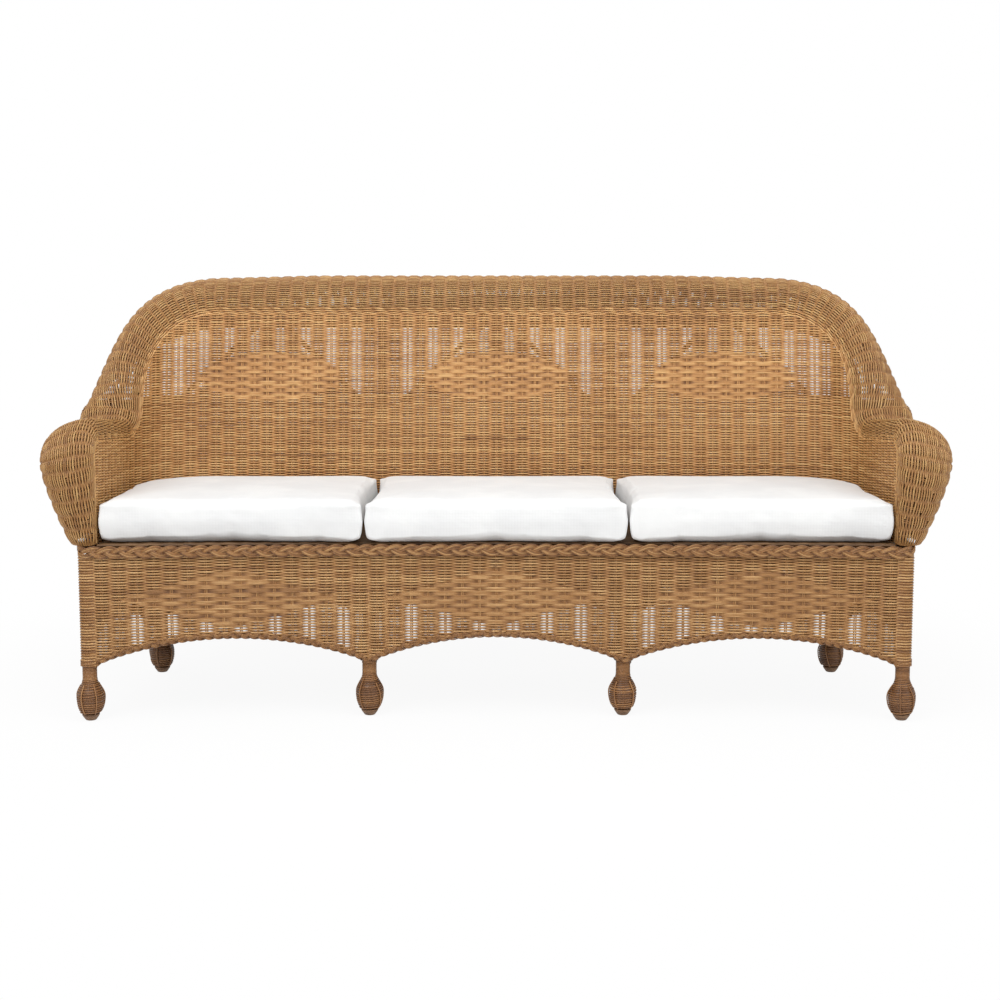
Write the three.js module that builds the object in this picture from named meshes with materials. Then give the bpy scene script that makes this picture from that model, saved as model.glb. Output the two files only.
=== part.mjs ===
// Three-seat rattan garden sofa with loose box cushions.
// Millimetres, +Z up, front facing -Y, origin on the ground at the middle of the bounding box.
import * as THREE from "three";

// Seat shell: one woven wall that runs along the left arm, round the back and along the right arm.
const WALL_HALF_WIDTH = 936;
const WALL_CORNER_RADIUS = 200;
const WALL_REAR_Y = 155;
const WALL_TILT = THREE.MathUtils.degToRad(10);
const SEAT_HEIGHT = 520;
const ARM_FRONT_Y = -385;
const WEAVE_THICKNESS = 9;

// Ribs: the wefts stand out over each stake and fall back halfway to the next one.
const RIB_DEPTH = 2.8;
const ROLL_STAKE_PITCH = 34;
const SKIRT_STAKE_PITCH = 40;
const STAKES_TO_BACK_POST = 9;
const CREST_SAMPLES = 1200;

// Trim line where the seat wall turns into the rolled border.
const TRIM_TOP_HEIGHT = 944;
const TRIM_ARM_FRONT_HEIGHT = 657;
const TRIM_ARM_REAR_HEIGHT = 632;
const TRIM_FRONT_RADIUS = 45;
const WING_FOOT_RADIUS = 68;
const WING_FOOT_TURN = 0.729;
const WING_FOOT_RISE = 73;
const WING_FOOT_HEIGHT = TRIM_ARM_REAR_HEIGHT + WING_FOOT_RISE;
const TRIM_WIDTH = 16;
const TRIM_THICKNESS = 12;

// Rolled border and the pear-shaped arm fronts.
const ROLL_DEPTH = 205;
const ROLL_RISE = 112;
const ROLL_CORNER_RISE = 105;
const ROLL_CORNER_RUN = 0.35;
const ROLL_CORNER_EASE = 2.5;
const ROLL_EDGE_HEIGHT = 893;
const WING_BULGE = 62;
const WING_EDGE_REACH = 110;
const WING_EDGE_HALF_WIDTH = WALL_HALF_WIDTH + WING_EDGE_REACH;
const WING_EDGE_LEAD = THREE.MathUtils.degToRad(15);
const WING_EDGE_DROP = 5;
const WING_EDGE_HEIGHT = WING_FOOT_HEIGHT - WING_EDGE_DROP;
const WING_SWEEP = 110;
const ARM_WIDTH = 134;
const ARM_WIDEST_HALF_WIDTH = WALL_HALF_WIDTH + ARM_WIDTH;
const ARM_WIDEST_HEIGHT = 620;
const ARM_BASE_WIDTH = 58;
const ARM_BASE_HALF_WIDTH = WALL_HALF_WIDTH + ARM_BASE_WIDTH;
const ARM_FRONT_BULGE = 62;
const ARM_TOP_BULGE = 52;
const ARM_REAR_BULGE = 42;
const ARM_BASE_BULGE = 28;
const ARM_CREST_LEAN = 20;
const ARM_FULLNESS = 0.8;
const BACK_FULLNESS = 0.92;
const ARM_BASE_SETBACK = 15;
const ARM_EDGE_SETBACK = 45;
const ARM_EDGE_DROP = 30;
const ARM_SHOULDER_RUN = 60;
const ARM_TAPER = 1.33;
const ARM_REAR_RADIUS = 70;

// Base: skirt, legs and seat frame.
const SKIRT_REACH = 26.5;
const SKIRT_HALF_WIDTH = WALL_HALF_WIDTH + SKIRT_REACH;
const SKIRT_FRONT_Y = -425;
const SKIRT_FRONT_HOLLOW_DEPTH = 45;
const SKIRT_REAR_Y = 173;
const SKIRT_CORNER_RADIUS = 220;
const SKIRT_BOTTOM_HEIGHT = 127;
const SKIRT_ARCH_RISE = 63;
const SKIRT_ARCH_FULLNESS = 0.75;
const BORDER_HEIGHT = 19;
const BORDER_THICKNESS = 14;
const RAIL_RADIUS = 14;
const RAIL_TOP_HEIGHT = 408;
const DECK_THICKNESS = 8;
const DECK_BRAID_HEIGHT = 31;
const DECK_BRAID_THICKNESS = 19.6;
const DECK_BRAID_TOP_HEIGHT = 415.5;
const DECK_BRAID_CORNER_RADIUS = 24;
const DECK_BRAID_TAIL = 40;
const INNER_LEG_X = 0.3216 * WALL_HALF_WIDTH;
const REAR_INNER_LEG_X = 0.3632 * WALL_HALF_WIDTH;
const CORNER_LEG_INSET = 9;
const CORNER_LEG_SETBACK = 12;
const LEG_POST_RADIUS = 15;
const FOOT_BALL_RADIUS = 33;
const FOOT_BALL_HEIGHT = 62;
const FOOT_BALL_MIDDLE = 0.6;
const FOOT_NECK_EASE = 4;
const FOOT_NECK_RADIUS = 17.5;
const GLIDE_HEIGHT = 15;
const GLIDE_TOP_RADIUS = 20.5;
const GLIDE_FLOOR_RADIUS = 14;

// Back and arm poles.
const POST_RADIUS = 12.5;
const BACK_POST_X = 0.3237 * WALL_HALF_WIDTH;
const CORNER_POST_TURN = 0.5;
const TOP_RAIL_RADIUS = 10;
const OUTER_RAIL_LENGTH = 260;
const BRACE_RADIUS = 7;
const BRACE_FOOT_HEIGHT = 655;
const BRACE_APEX_ROUNDING = 20;

// Cushions.
const CUSHION_GAP = 3;
const CUSHION_FRONT_Y = -397;
const CUSHION_EDGE_HEIGHT = 95;
const CUSHION_CROWN = 14;
const CUSHION_CORNER_RADIUS = 22;
const CUSHION_DRAW_IN = 4;
const CUSHION_SIDE_BULGE = 5;
const CUSHION_SEAM_RADIUS = 9;

// Fits.
const CLEARANCE = 0.4;
const TRIM_GAP = 1.8;
const POLE_PLAY = 0.8;
const BUTT_GAP = 2;
const SHELL_JOINT_GAP = 2;
const ARM_EDGE_GAP = 4;
const ARM_FOOT_GAP = 7;
const CUSHION_SIDE_GAP = 4.5;
const ROD_SIDES = 8;

const QUARTER = Math.PI / 2;
const half = (value) => value / 2;
const mix = (a, b, t) => a + (b - a) * t;
const vec = (x, y, z) => new THREE.Vector3(x, y, z);
const steps = (from, to, count) => Array.from({ length: count + 1 }, (_, i) => mix(from, to, i / count));

const WEAVE_HALF = half(WEAVE_THICKNESS);
const DECK_TOP = RAIL_TOP_HEIGHT + CLEARANCE + DECK_THICKNESS;
const WALL_BOTTOM = RAIL_TOP_HEIGHT + CLEARANCE;
const ARM_BOTTOM = DECK_BRAID_TOP_HEIGHT + ARM_FOOT_GAP;
const RAIL_HEIGHT = RAIL_TOP_HEIGHT - RAIL_RADIUS;
const RAIL_INSET = WEAVE_HALF + RAIL_RADIUS + CLEARANCE;
const LEG_INSET = half(BORDER_THICKNESS) + LEG_POST_RADIUS + CLEARANCE;
const WALL_STRAIGHT = WALL_HALF_WIDTH - WALL_CORNER_RADIUS;
const CORNER_LENGTH = WALL_CORNER_RADIUS * QUARTER;
const CORNER_POST_ALONG = WALL_STRAIGHT + CORNER_POST_TURN * CORNER_LENGTH;
const WING_FOOT_ALONG = WALL_STRAIGHT + WING_FOOT_TURN * CORNER_LENGTH;
const CUSHION_ROW_WIDTH = 2 * (WALL_HALF_WIDTH - WEAVE_HALF - CUSHION_SIDE_GAP);
const CUSHION_WIDTH = (CUSHION_ROW_WIDTH - 2 * CUSHION_GAP) / 3;
const TRIM_REACH = half(TRIM_WIDTH) + TRIM_GAP;
const TRIM_RAIL_OUT = half(TRIM_THICKNESS) + CLEARANCE + TOP_RAIL_RADIUS + POLE_PLAY;

// Seat wall.

/** Rear of the seat wall at a height: it leans back from the seat. */
function wallRear(z) {
  return WALL_REAR_Y + (z - SEAT_HEIGHT) * Math.tan(WALL_TILT);
}

/** Point on the seat wall, `along` from the middle of the back (left is positive), `out` behind it. */
function wallPoint(along, z, out = 0) {
  const side = along < 0 ? 1 : -1;
  const l = Math.abs(along);
  const cornerY = wallRear(z) - WALL_CORNER_RADIUS;
  const reach = WALL_CORNER_RADIUS + out;
  if (l <= WALL_STRAIGHT) return vec(side * l, cornerY + reach, z);
  const turn = (l - WALL_STRAIGHT) / WALL_CORNER_RADIUS;
  if (turn <= QUARTER) {
    return vec(side * (WALL_STRAIGHT + reach * Math.sin(turn)), cornerY + reach * Math.cos(turn), z);
  }
  return vec(side * (WALL_STRAIGHT + reach), cornerY - (l - WALL_STRAIGHT - CORNER_LENGTH), z);
}

/** Distance along the wall of a point on the straight arm at depth y. */
function alongArm(y, z) {
  return WALL_STRAIGHT + CORNER_LENGTH + wallRear(z) - WALL_CORNER_RADIUS - y;
}

// Trim line in the wall's own plane, as [along, z]. Stations run from the foot of the left arm
// front (0) up the front (1), round the turn (2), along the arm (3), up the wing foot (4),
// over the corner (5) to the middle of the back (6).
function trimLine(station) {
  const s = station;
  const rise = TRIM_ARM_FRONT_HEIGHT - TRIM_FRONT_RADIUS;
  const armEnd = WING_FOOT_ALONG + WING_FOOT_RADIUS;
  const turn = (s % 1) * QUARTER;
  if (s <= 1) {
    const z = mix(ARM_BOTTOM, rise, s);
    return [alongArm(ARM_FRONT_Y, z), z];
  }
  if (s < 2) {
    const z = rise + TRIM_FRONT_RADIUS * Math.sin(turn);
    return [alongArm(ARM_FRONT_Y + TRIM_FRONT_RADIUS * (1 - Math.cos(turn)), z), z];
  }
  if (s < 3) {
    const armStart = alongArm(ARM_FRONT_Y + TRIM_FRONT_RADIUS, TRIM_ARM_FRONT_HEIGHT);
    return [mix(armStart, armEnd, s - 2), mix(TRIM_ARM_FRONT_HEIGHT, TRIM_ARM_REAR_HEIGHT, s - 2)];
  }
  if (s < 4) {
    const climb = (WING_FOOT_HEIGHT - TRIM_ARM_REAR_HEIGHT) * (1 - Math.cos(turn));
    return [armEnd - WING_FOOT_RADIUS * Math.sin(turn), TRIM_ARM_REAR_HEIGHT + climb];
  }
  if (s < 5) {
    const along = WALL_STRAIGHT + (WING_FOOT_ALONG - WALL_STRAIGHT) * Math.cos(turn);
    return [along, mix(WING_FOOT_HEIGHT, TRIM_TOP_HEIGHT, Math.sin(turn))];
  }
  return [WALL_STRAIGHT * (6 - s), TRIM_TOP_HEIGHT];
}

/** Trim point moved `reach` out of the wall's edge, in the wall's plane, and its direction. */
function trimFrame(station) {
  const step = 0.01;
  const [l, z] = trimLine(station);
  const [l0, z0] = trimLine(Math.max(0, station - step));
  const [l1, z1] = trimLine(Math.min(6, station + step));
  const run = Math.hypot(l1 - l0, z1 - z0);
  const outAlong = (z1 - z0) / run;
  const outUp = -(l1 - l0) / run;
  const at = wallPoint(l, z);
  const away = wallPoint(l + outAlong, z + outUp).sub(at).normalize();
  return { at, away };
}

// Rolled border.

/** Outer half width of the arm at a height, the pear outline seen from the front. */
function armOuter(z) {
  const drop = Math.max(0, (ARM_WIDEST_HEIGHT - z) / (ARM_WIDEST_HEIGHT - DECK_TOP));
  return ARM_WIDEST_HALF_WIDTH - (ARM_WIDEST_HALF_WIDTH - ARM_BASE_HALF_WIDTH) * drop ** ARM_TAPER;
}

/** Outer edge of the rolled border at a station on the back: round the corner, then straight. */
function backEdge(s) {
  const cornerY = wallRear(trimLine(s)[1]) - WALL_CORNER_RADIUS;
  const reachY = WALL_CORNER_RADIUS + ROLL_DEPTH;
  if (s >= 5) return vec(-WALL_STRAIGHT * (6 - s), cornerY + reachY, ROLL_EDGE_HEIGHT);
  const swing = mix(WING_EDGE_LEAD, QUARTER, s - 4);
  const reachX = (WING_EDGE_HALF_WIDTH - WALL_STRAIGHT) / Math.cos(WING_EDGE_LEAD);
  const z = mix(WING_EDGE_HEIGHT, ROLL_EDGE_HEIGHT, Math.sin((s - 4) * QUARTER));
  return vec(-WALL_STRAIGHT - reachX * Math.cos(swing), cornerY + reachY * Math.sin(swing), z);
}

/** Smooth curve between two points with a direction at each end. */
function sweep(start, startRun, end, endRun, t) {
  const rest = 1 - t;
  return start
    .clone()
    .multiplyScalar(rest ** 2 * (1 + 2 * t))
    .addScaledVector(startRun, rest ** 2 * t)
    .addScaledVector(end, t ** 2 * (3 - 2 * t))
    .addScaledVector(endRun, -(t ** 2) * rest);
}

/** Outer edge of the rolled border at a station. */
function outerEdge(station) {
  const s = station;
  const turn = (s % 1) * QUARTER;
  const shoulderY = ARM_FRONT_Y + ARM_EDGE_SETBACK + ARM_SHOULDER_RUN;
  if (s <= 1) {
    const z = mix(ARM_BOTTOM, ARM_WIDEST_HEIGHT - ARM_EDGE_DROP, s);
    return vec(-armOuter(z), ARM_FRONT_Y + mix(ARM_BASE_SETBACK, ARM_EDGE_SETBACK, s), z);
  }
  if (s < 2) {
    const z = ARM_WIDEST_HEIGHT - ARM_EDGE_DROP * (1 - Math.sin(turn));
    return vec(-armOuter(z), mix(ARM_FRONT_Y + ARM_EDGE_SETBACK, shoulderY, 1 - Math.cos(turn)), z);
  }
  if (s >= 4) return backEdge(s);
  const wing = backEdge(4);
  const armEnd = vec(-ARM_WIDEST_HALF_WIDTH, wing.y - WING_SWEEP, ARM_WIDEST_HEIGHT);
  if (s < 3) return vec(armEnd.x, mix(shoulderY, armEnd.y, s - 2), armEnd.z);
  const climb = backEdge(4 + 1e-3).sub(wing).setLength(WING_SWEEP);
  return sweep(armEnd, vec(0, WING_SWEEP, 0), wing, climb, s - 3);
}

/** How far the rolled border stands out of the line between its two edges. */
function rollBulge(station) {
  const s = station;
  if (s <= 1) return mix(ARM_BASE_BULGE, ARM_FRONT_BULGE, Math.sin(s * QUARTER));
  if (s < 2) return mix(ARM_FRONT_BULGE, ARM_TOP_BULGE, s - 1);
  if (s < 3) return mix(ARM_TOP_BULGE, ARM_REAR_BULGE, s - 2);
  if (s < 4) return mix(ARM_REAR_BULGE, WING_BULGE, s - 3);
  if (s < 5) return mix(WING_BULGE, ROLL_CORNER_RISE, 1 - (5 - s) ** ROLL_CORNER_EASE);
  return mix(ROLL_CORNER_RISE, ROLL_RISE, Math.min((s - 5) / ROLL_CORNER_RUN, 1));
}

/** Exponent of the section's curve: smaller is squarer. */
function rollFullness(s) {
  return mix(ARM_FULLNESS, BACK_FULLNESS, THREE.MathUtils.smoothstep(s, 3, 4));
}

/** Point of the rolled border: station along it, angle 0 at the trim and PI at the outer edge. */
function rollPoint(station, angle) {
  const mirrored = station > 6;
  const s = mirrored ? 12 - station : station;
  const { at, away } = trimFrame(s);
  const middle = at.clone().add(outerEdge(s)).multiplyScalar(0.5);
  const arm = at.clone().sub(middle);
  const lean = THREE.MathUtils.clamp(Math.min(s - 1, 4 - s), 0, 1) * ARM_CREST_LEAN;
  const fullness = rollFullness(s);
  const across = Math.sign(Math.cos(angle)) * Math.abs(Math.cos(angle)) ** fullness;
  const over = Math.abs(Math.sin(angle)) ** fullness * Math.sign(Math.sin(angle));
  const point = middle.addScaledVector(arm, across).addScaledVector(away, over * rollBulge(s));
  point.addScaledVector(arm.normalize(), lean * over ** 2);
  return mirrored ? vec(-point.x, point.y, point.z) : point;
}

/** Angle at which the rolled border clears the trim band. */
function rollStart(station) {
  const s = station > 6 ? 12 - station : station;
  return Math.asin((TRIM_REACH / rollBulge(s)) ** (1 / rollFullness(s)));
}

/** Point inside the rolled border, `depth` under its surface. */
function underRoll(station, angle, depth) {
  const normal = surfaceNormal(rollPoint, station, angle);
  return rollPoint(station, angle).addScaledVector(normal, -depth);
}

// Base outline, shared by skirt, rails and legs.

const SKIRT_STRAIGHT = SKIRT_HALF_WIDTH - SKIRT_CORNER_RADIUS;
const SKIRT_CORNER_Y = SKIRT_REAR_Y - SKIRT_CORNER_RADIUS;

/** Front line of the base: slightly hollow in the middle. */
function frontLine(x, inset = 0) {
  return SKIRT_FRONT_Y + SKIRT_FRONT_HOLLOW_DEPTH * (1 - (x / SKIRT_HALF_WIDTH) ** 2) + inset;
}

/** Side and rear line of the base as three quarters: turn 0 is the side, 1 the rear. */
function baseCorner(turn, inset, z) {
  const reach = SKIRT_CORNER_RADIUS - inset;
  const angle = turn * QUARTER;
  return vec(-SKIRT_STRAIGHT - reach * Math.cos(angle), SKIRT_CORNER_Y + reach * Math.sin(angle), z);
}

/** Lower edge of a skirt bay between two legs, an arch. */
function archHeight(at, from, to) {
  const t = THREE.MathUtils.clamp((at - from) / (to - from), 0, 1);
  return SKIRT_BOTTOM_HEIGHT + SKIRT_ARCH_RISE * Math.sin(Math.PI * t) ** SKIRT_ARCH_FULLNESS;
}

// Solids.

/** Unit normal of a surface function by small differences. */
function surfaceNormal(surface, u, v) {
  const step = 1e-3;
  const alongU = surface(u + step, v).sub(surface(u - step, v));
  const alongV = surface(u, v + step).sub(surface(u, v - step));
  return alongU.cross(alongV).normalize();
}

const noGroove = () => 0;

/** Triangles between two rim lines, given as [vertex, place] with rising places. */
function stitch(index, front, back) {
  let i = 0;
  let j = 0;
  while (i < front.length - 1 || j < back.length - 1) {
    const frontDone = i === front.length - 1;
    const backDone = j === back.length - 1;
    if (frontDone || (!backDone && back[j + 1][1] <= front[i + 1][1])) {
      index.push(front[i][0], back[j][0], back[j + 1][0]);
      j += 1;
    } else {
      index.push(front[i][0], back[j][0], front[i + 1][0]);
      i += 1;
    }
  }
}

/**
 * Closed shell on a surface function, over a grid of u and v values. `groove` is how far its faces
 * fall back at a u. With `plainUs` the rear face has these u values instead, and no grooves.
 */
function sheet(surface, us, vs, thickness, groove = noGroove, plainUs = null) {
  const columns = vs.length;
  const positions = [];
  const index = [];
  const addSkin = (skinUs, side, depth) => {
    const first = positions.length / 3;
    for (const u of skinUs) {
      for (const v of vs) {
        const normal = surfaceNormal(surface, u, v);
        const point = surface(u, v).addScaledVector(normal, side * (half(thickness) - depth(u)));
        positions.push(point.x, point.y, point.z);
      }
    }
    for (let i = 0; i < skinUs.length - 1; i += 1) {
      for (let j = 0; j < columns - 1; j += 1) {
        const a = first + i * columns + j;
        const b = a + columns;
        if (side > 0) index.push(a, b, b + 1, a, b + 1, a + 1);
        else index.push(a, a + 1, b + 1, a, b + 1, b);
      }
    }
    return (i, j) => first + i * columns + j;
  };
  const backUs = plainUs ?? us;
  const frontAt = addSkin(us, 1, groove);
  const backAt = addSkin(backUs, -1, plainUs ? noGroove : groove);
  const last = columns - 1;
  const rising = (list, at, j) => list.map((u, i) => [at(i, j), u]);
  const falling = (list, at, j) => list.map((u, i) => [at(i, j), -u]).reverse();
  const across = (at, i, sign) => vs.map((_, j) => [at(i, j), sign * j]);
  stitch(index, rising(us, frontAt, 0), rising(backUs, backAt, 0));
  stitch(index, across(frontAt, us.length - 1, 1), across(backAt, backUs.length - 1, 1));
  stitch(index, falling(us, frontAt, last), falling(backUs, backAt, last));
  stitch(index, across(frontAt, 0, -1).reverse(), across(backAt, 0, -1).reverse());
  const geometry = new THREE.BufferGeometry();
  geometry.setAttribute("position", new THREE.Float32BufferAttribute(positions, 3));
  geometry.setIndex(index);
  return geometry;
}

/** Depth of the groove between ribs: none where `run` is half a pitch over a whole number of them. */
function ribGroove(run, pitch) {
  const cell = run / pitch;
  return RIB_DEPTH * Math.abs(2 * (cell - Math.floor(cell)) - 1);
}

/** Rising values at each rib and groove from one end to the other, with some further ones. */
function ribStations(from, to, pitch, others = []) {
  const ribs = steps(from, to, Math.round((2 * (to - from)) / pitch));
  return [...new Set([...ribs, ...others])].sort((a, b) => a - b);
}

/** Straight lines through a function's values at a rising list of places. */
function chords(places, value) {
  const heights = places.map(value);
  return (at) => {
    const found = places.findIndex((place) => place >= at);
    const i = found < 0 ? places.length - 1 : Math.max(found, 1);
    const share = THREE.MathUtils.clamp((at - places[i - 1]) / (places[i] - places[i - 1]), 0, 1);
    return mix(heights[i - 1], heights[i], share);
  };
}

/** Grooved face, plain rear face: one skirt's shell between two ends of its line. */
function ribbedSkirt(surface, plain) {
  const from = plain[0];
  const to = plain[plain.length - 1];
  const pitch = (to - from) / Math.round((to - from) / SKIRT_STAKE_PITCH);
  const groove = (u) => ribGroove(u - from, pitch);
  return sheet(surface, ribStations(from, to, pitch), [0, 1], WEAVE_THICKNESS, groove, plain);
}

/** Round pole through a list of points. */
function pole(points, radius, count) {
  const curve = new THREE.CatmullRomCurve3(points, false, "centripetal");
  const section = new THREE.Shape();
  for (let i = 0; i < ROD_SIDES; i += 1) {
    const angle = (i / ROD_SIDES) * 2 * Math.PI;
    const x = radius * Math.cos(angle);
    const y = radius * Math.sin(angle);
    if (i === 0) section.moveTo(x, y);
    else section.lineTo(x, y);
  }
  section.closePath();
  return new THREE.ExtrudeGeometry(section, { steps: count, extrudePath: curve });
}

/** Closed turned form about a vertical axis from its outer profile, bottom to top. */
function turned(profile, segments) {
  const points = profile.map(([radius, z]) => new THREE.Vector2(radius, z));
  const geometry = new THREE.LatheGeometry(points, segments);
  geometry.rotateX(QUARTER);
  return geometry;
}

const group = new THREE.Group();

const RATTAN = { color: 0xb98a55, roughness: 0.62, metalness: 0 };
const POLE = { color: 0xa5733f, roughness: 0.55, metalness: 0 };
const TRIM = { color: 0xa87a45, roughness: 0.6, metalness: 0 };
const SPLINT = { color: 0xc39a66, roughness: 0.7, metalness: 0 };
const GLIDE = { color: 0x8a6238, roughness: 0.5, metalness: 0 };
const FABRIC = { color: 0xf4f3ef, roughness: 0.9, metalness: 0 };

/** Adds one named piece; `mirror` puts it on the right instead of the left. */
function add(name, geometry, finish, mirror = false) {
  const mesh = new THREE.Mesh(geometry, new THREE.MeshStandardMaterial(finish));
  mesh.name = name;
  if (mirror) mesh.scale.x = -1;
  group.add(mesh);
  return mesh;
}

/** Adds a left piece and its mirrored right one. */
function addPair(name, geometry, finish) {
  add(`left_${name}`, geometry, finish);
  add(`right_${name}`, geometry, finish, true);
}

// Legs: a turned core with a ball foot, standing on a glide.

const legTop = RAIL_TOP_HEIGHT - 2 * RAIL_RADIUS - CLEARANCE;
const ballBottom = GLIDE_HEIGHT + CLEARANCE;
const ballTop = ballBottom + FOOT_BALL_HEIGHT;
const ballMiddle = ballBottom + FOOT_BALL_MIDDLE * FOOT_BALL_HEIGHT;

function legProfile() {
  const bulb = steps(0, 1, 5).map((t) => {
    const z = mix(ballBottom, ballTop, t);
    const reach = z < ballMiddle ? ballMiddle - ballBottom : ballTop - ballMiddle;
    const roundness = Math.sqrt(Math.max(0, 1 - ((z - ballMiddle) / reach) ** 2));
    return [mix(FOOT_NECK_RADIUS, FOOT_BALL_RADIUS, roundness), z];
  });
  const neck = [
    [FOOT_NECK_RADIUS, ballTop + FOOT_NECK_EASE],
    [FOOT_NECK_RADIUS, SKIRT_BOTTOM_HEIGHT - FOOT_NECK_EASE],
    [LEG_POST_RADIUS, SKIRT_BOTTOM_HEIGHT],
    [LEG_POST_RADIUS, legTop],
  ];
  return [[0, ballBottom], ...bulb, ...neck, [0, legTop]];
}

const glideProfile = [
  [0, 0],
  [GLIDE_FLOOR_RADIUS, 0],
  [GLIDE_TOP_RADIUS, GLIDE_HEIGHT],
  [0, GLIDE_HEIGHT],
];

const outerLegX = SKIRT_HALF_WIDTH - CORNER_LEG_INSET;
const outerLegY = frontLine(outerLegX, CORNER_LEG_SETBACK);
const rearCornerLeg = baseCorner(0.5, LEG_INSET, 0);
const legPlaces = {
  front_outer: [outerLegX, outerLegY],
  front_inner: [INNER_LEG_X, frontLine(INNER_LEG_X, LEG_INSET)],
  rear_inner: [REAR_INNER_LEG_X, SKIRT_REAR_Y - LEG_INSET],
  rear_outer: [-rearCornerLeg.x, rearCornerLeg.y],
};

for (const [place, [x, y]] of Object.entries(legPlaces)) {
  for (const [side, sign] of [["left", -1], ["right", 1]]) {
    add(`${side}_${place}_leg`, turned(legProfile(), 12), RATTAN).position.set(sign * x, y, 0);
    add(`${side}_${place}_glide`, turned(glideProfile, 12), GLIDE).position.set(sign * x, y, 0);
  }
}

// Seat frame: rails that lie on the legs, two bearers and a woven deck.

const sideRailX = SKIRT_HALF_WIDTH - RAIL_INSET;
const frontRailPoint = (x) => vec(x, frontLine(x, RAIL_INSET), RAIL_HEIGHT);
const frontRail = steps(-sideRailX, sideRailX, 8).map(frontRailPoint);
add("front_seat_rail", pole(frontRail, RAIL_RADIUS, 16), POLE);

const railCorner = (turn) => baseCorner(turn, RAIL_INSET, RAIL_HEIGHT);
const rearTurns = steps(0.5, 1, 6).map(railCorner);
const rearStraightEnd = SKIRT_STRAIGHT - 2 * RAIL_RADIUS;
const rearRailPoint = (x) => vec(x, SKIRT_REAR_Y - RAIL_INSET, RAIL_HEIGHT);
const rearStraight = steps(-rearStraightEnd, rearStraightEnd, 8).map(rearRailPoint);
const rearRail = [...rearTurns, ...rearStraight, ...rearTurns.map((p) => vec(-p.x, p.y, p.z)).reverse()];
add("rear_seat_rail", pole(rearRail, RAIL_RADIUS, 40), POLE);

const sideRailFront = frontLine(sideRailX, RAIL_INSET) + RAIL_RADIUS + BUTT_GAP;
const sideRailRear = SKIRT_CORNER_Y - 2 * RAIL_RADIUS;
const sideRailStraight = steps(sideRailFront, sideRailRear, 4).map((y) => vec(-sideRailX, y, RAIL_HEIGHT));
const sideRailTurn = 0.5 - (1.5 * BUTT_GAP) / (SKIRT_CORNER_RADIUS - RAIL_INSET);
const sideRail = [...sideRailStraight, ...steps(0, sideRailTurn, 5).map(railCorner)];
addPair("seat_rail", pole(sideRail, RAIL_RADIUS, 16), POLE);

const bearerFront = frontLine(INNER_LEG_X, RAIL_INSET) + RAIL_RADIUS + 2 * CLEARANCE;
const bearerRear = SKIRT_REAR_Y - RAIL_INSET - RAIL_RADIUS - CLEARANCE;
const bearer = new THREE.CylinderGeometry(RAIL_RADIUS, RAIL_RADIUS, bearerRear - bearerFront, ROD_SIDES);
bearer.translate(0, half(bearerFront + bearerRear), 0);
bearer.rotateY(Math.PI / ROD_SIDES);
for (const [side, sign] of [["left", -1], ["right", 1]]) {
  add(`${side}_seat_bearer`, bearer, POLE).position.set(sign * INNER_LEG_X, 0, RAIL_HEIGHT);
}

/** Outline of the deck: inside the seat wall, and along the hollow front. */
function deckOutline() {
  const inside = -WEAVE_HALF - SHELL_JOINT_GAP;
  const edge = WALL_HALF_WIDTH + inside;
  const behindBraid = WEAVE_HALF + 2 * CLEARANCE;
  const front = steps(edge, -edge, 12).map((x) => [x, frontLine(x, behindBraid)]);
  const cornerEnd = WALL_STRAIGHT + CORNER_LENGTH;
  const corner = steps(cornerEnd, WALL_STRAIGHT, 8).map((l) => wallPoint(l, WALL_BOTTOM, inside));
  const left = corner.map((p) => [p.x, p.y]);
  const right = corner.map((p) => [-p.x, p.y]).reverse();
  return [...front, ...left, ...right].map(([x, y]) => new THREE.Vector2(x, y));
}
const deckShape = new THREE.Shape(deckOutline());
const deck = new THREE.ExtrudeGeometry(deckShape, { depth: DECK_THICKNESS, bevelEnabled: false });
deck.translate(0, 0, RAIL_TOP_HEIGHT + CLEARANCE);
add("seat_deck", deck, SPLINT);

// Skirt: woven panels hanging from the deck braid, with an arched border along the bottom.

const skirtTop = DECK_BRAID_TOP_HEIGHT - DECK_BRAID_HEIGHT - CLEARANCE;
const borderReach = BORDER_HEIGHT + 2 * CLEARANCE;
const frontEnd = outerLegX - LEG_POST_RADIUS - CLEARANCE;
const frontBays = [-frontEnd, -INNER_LEG_X, INNER_LEG_X, frontEnd];

function frontArch(x) {
  const bay = frontBays.findIndex((edge, i) => x <= (frontBays[i + 1] ?? Infinity));
  const i = THREE.MathUtils.clamp(bay, 0, 2);
  return archHeight(x, frontBays[i], frontBays[i + 1]);
}

const frontBorder = (x, t) => vec(x, frontLine(x), frontArch(x) + t * BORDER_HEIGHT);
const frontXs = frontBays
  .slice(0, -1)
  .flatMap((edge, i) => steps(edge, frontBays[i + 1], 10).slice(i ? 1 : 0));
const frontEdge = chords(frontXs, frontArch);
const frontSurface = (x, t) => vec(x, frontLine(x), mix(frontEdge(x) + borderReach, skirtTop, t));
add("front_skirt", ribbedSkirt(frontSurface, frontXs), RATTAN);
add("front_skirt_border", sheet(frontBorder, frontXs, [0, 1], BORDER_THICKNESS), TRIM);

// Side skirt from the corner leg to the middle of the rear corner, by distance along it.
const sideSkirtFront = outerLegY + LEG_POST_RADIUS + CLEARANCE;
const sideStraight = SKIRT_CORNER_Y - sideSkirtFront;
const sideArc = SKIRT_CORNER_RADIUS * QUARTER;

function sideLine(distance, z) {
  if (distance <= sideStraight) return vec(-SKIRT_HALF_WIDTH, sideSkirtFront + distance, z);
  return baseCorner((distance - sideStraight) / sideArc, 0, z);
}

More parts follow.
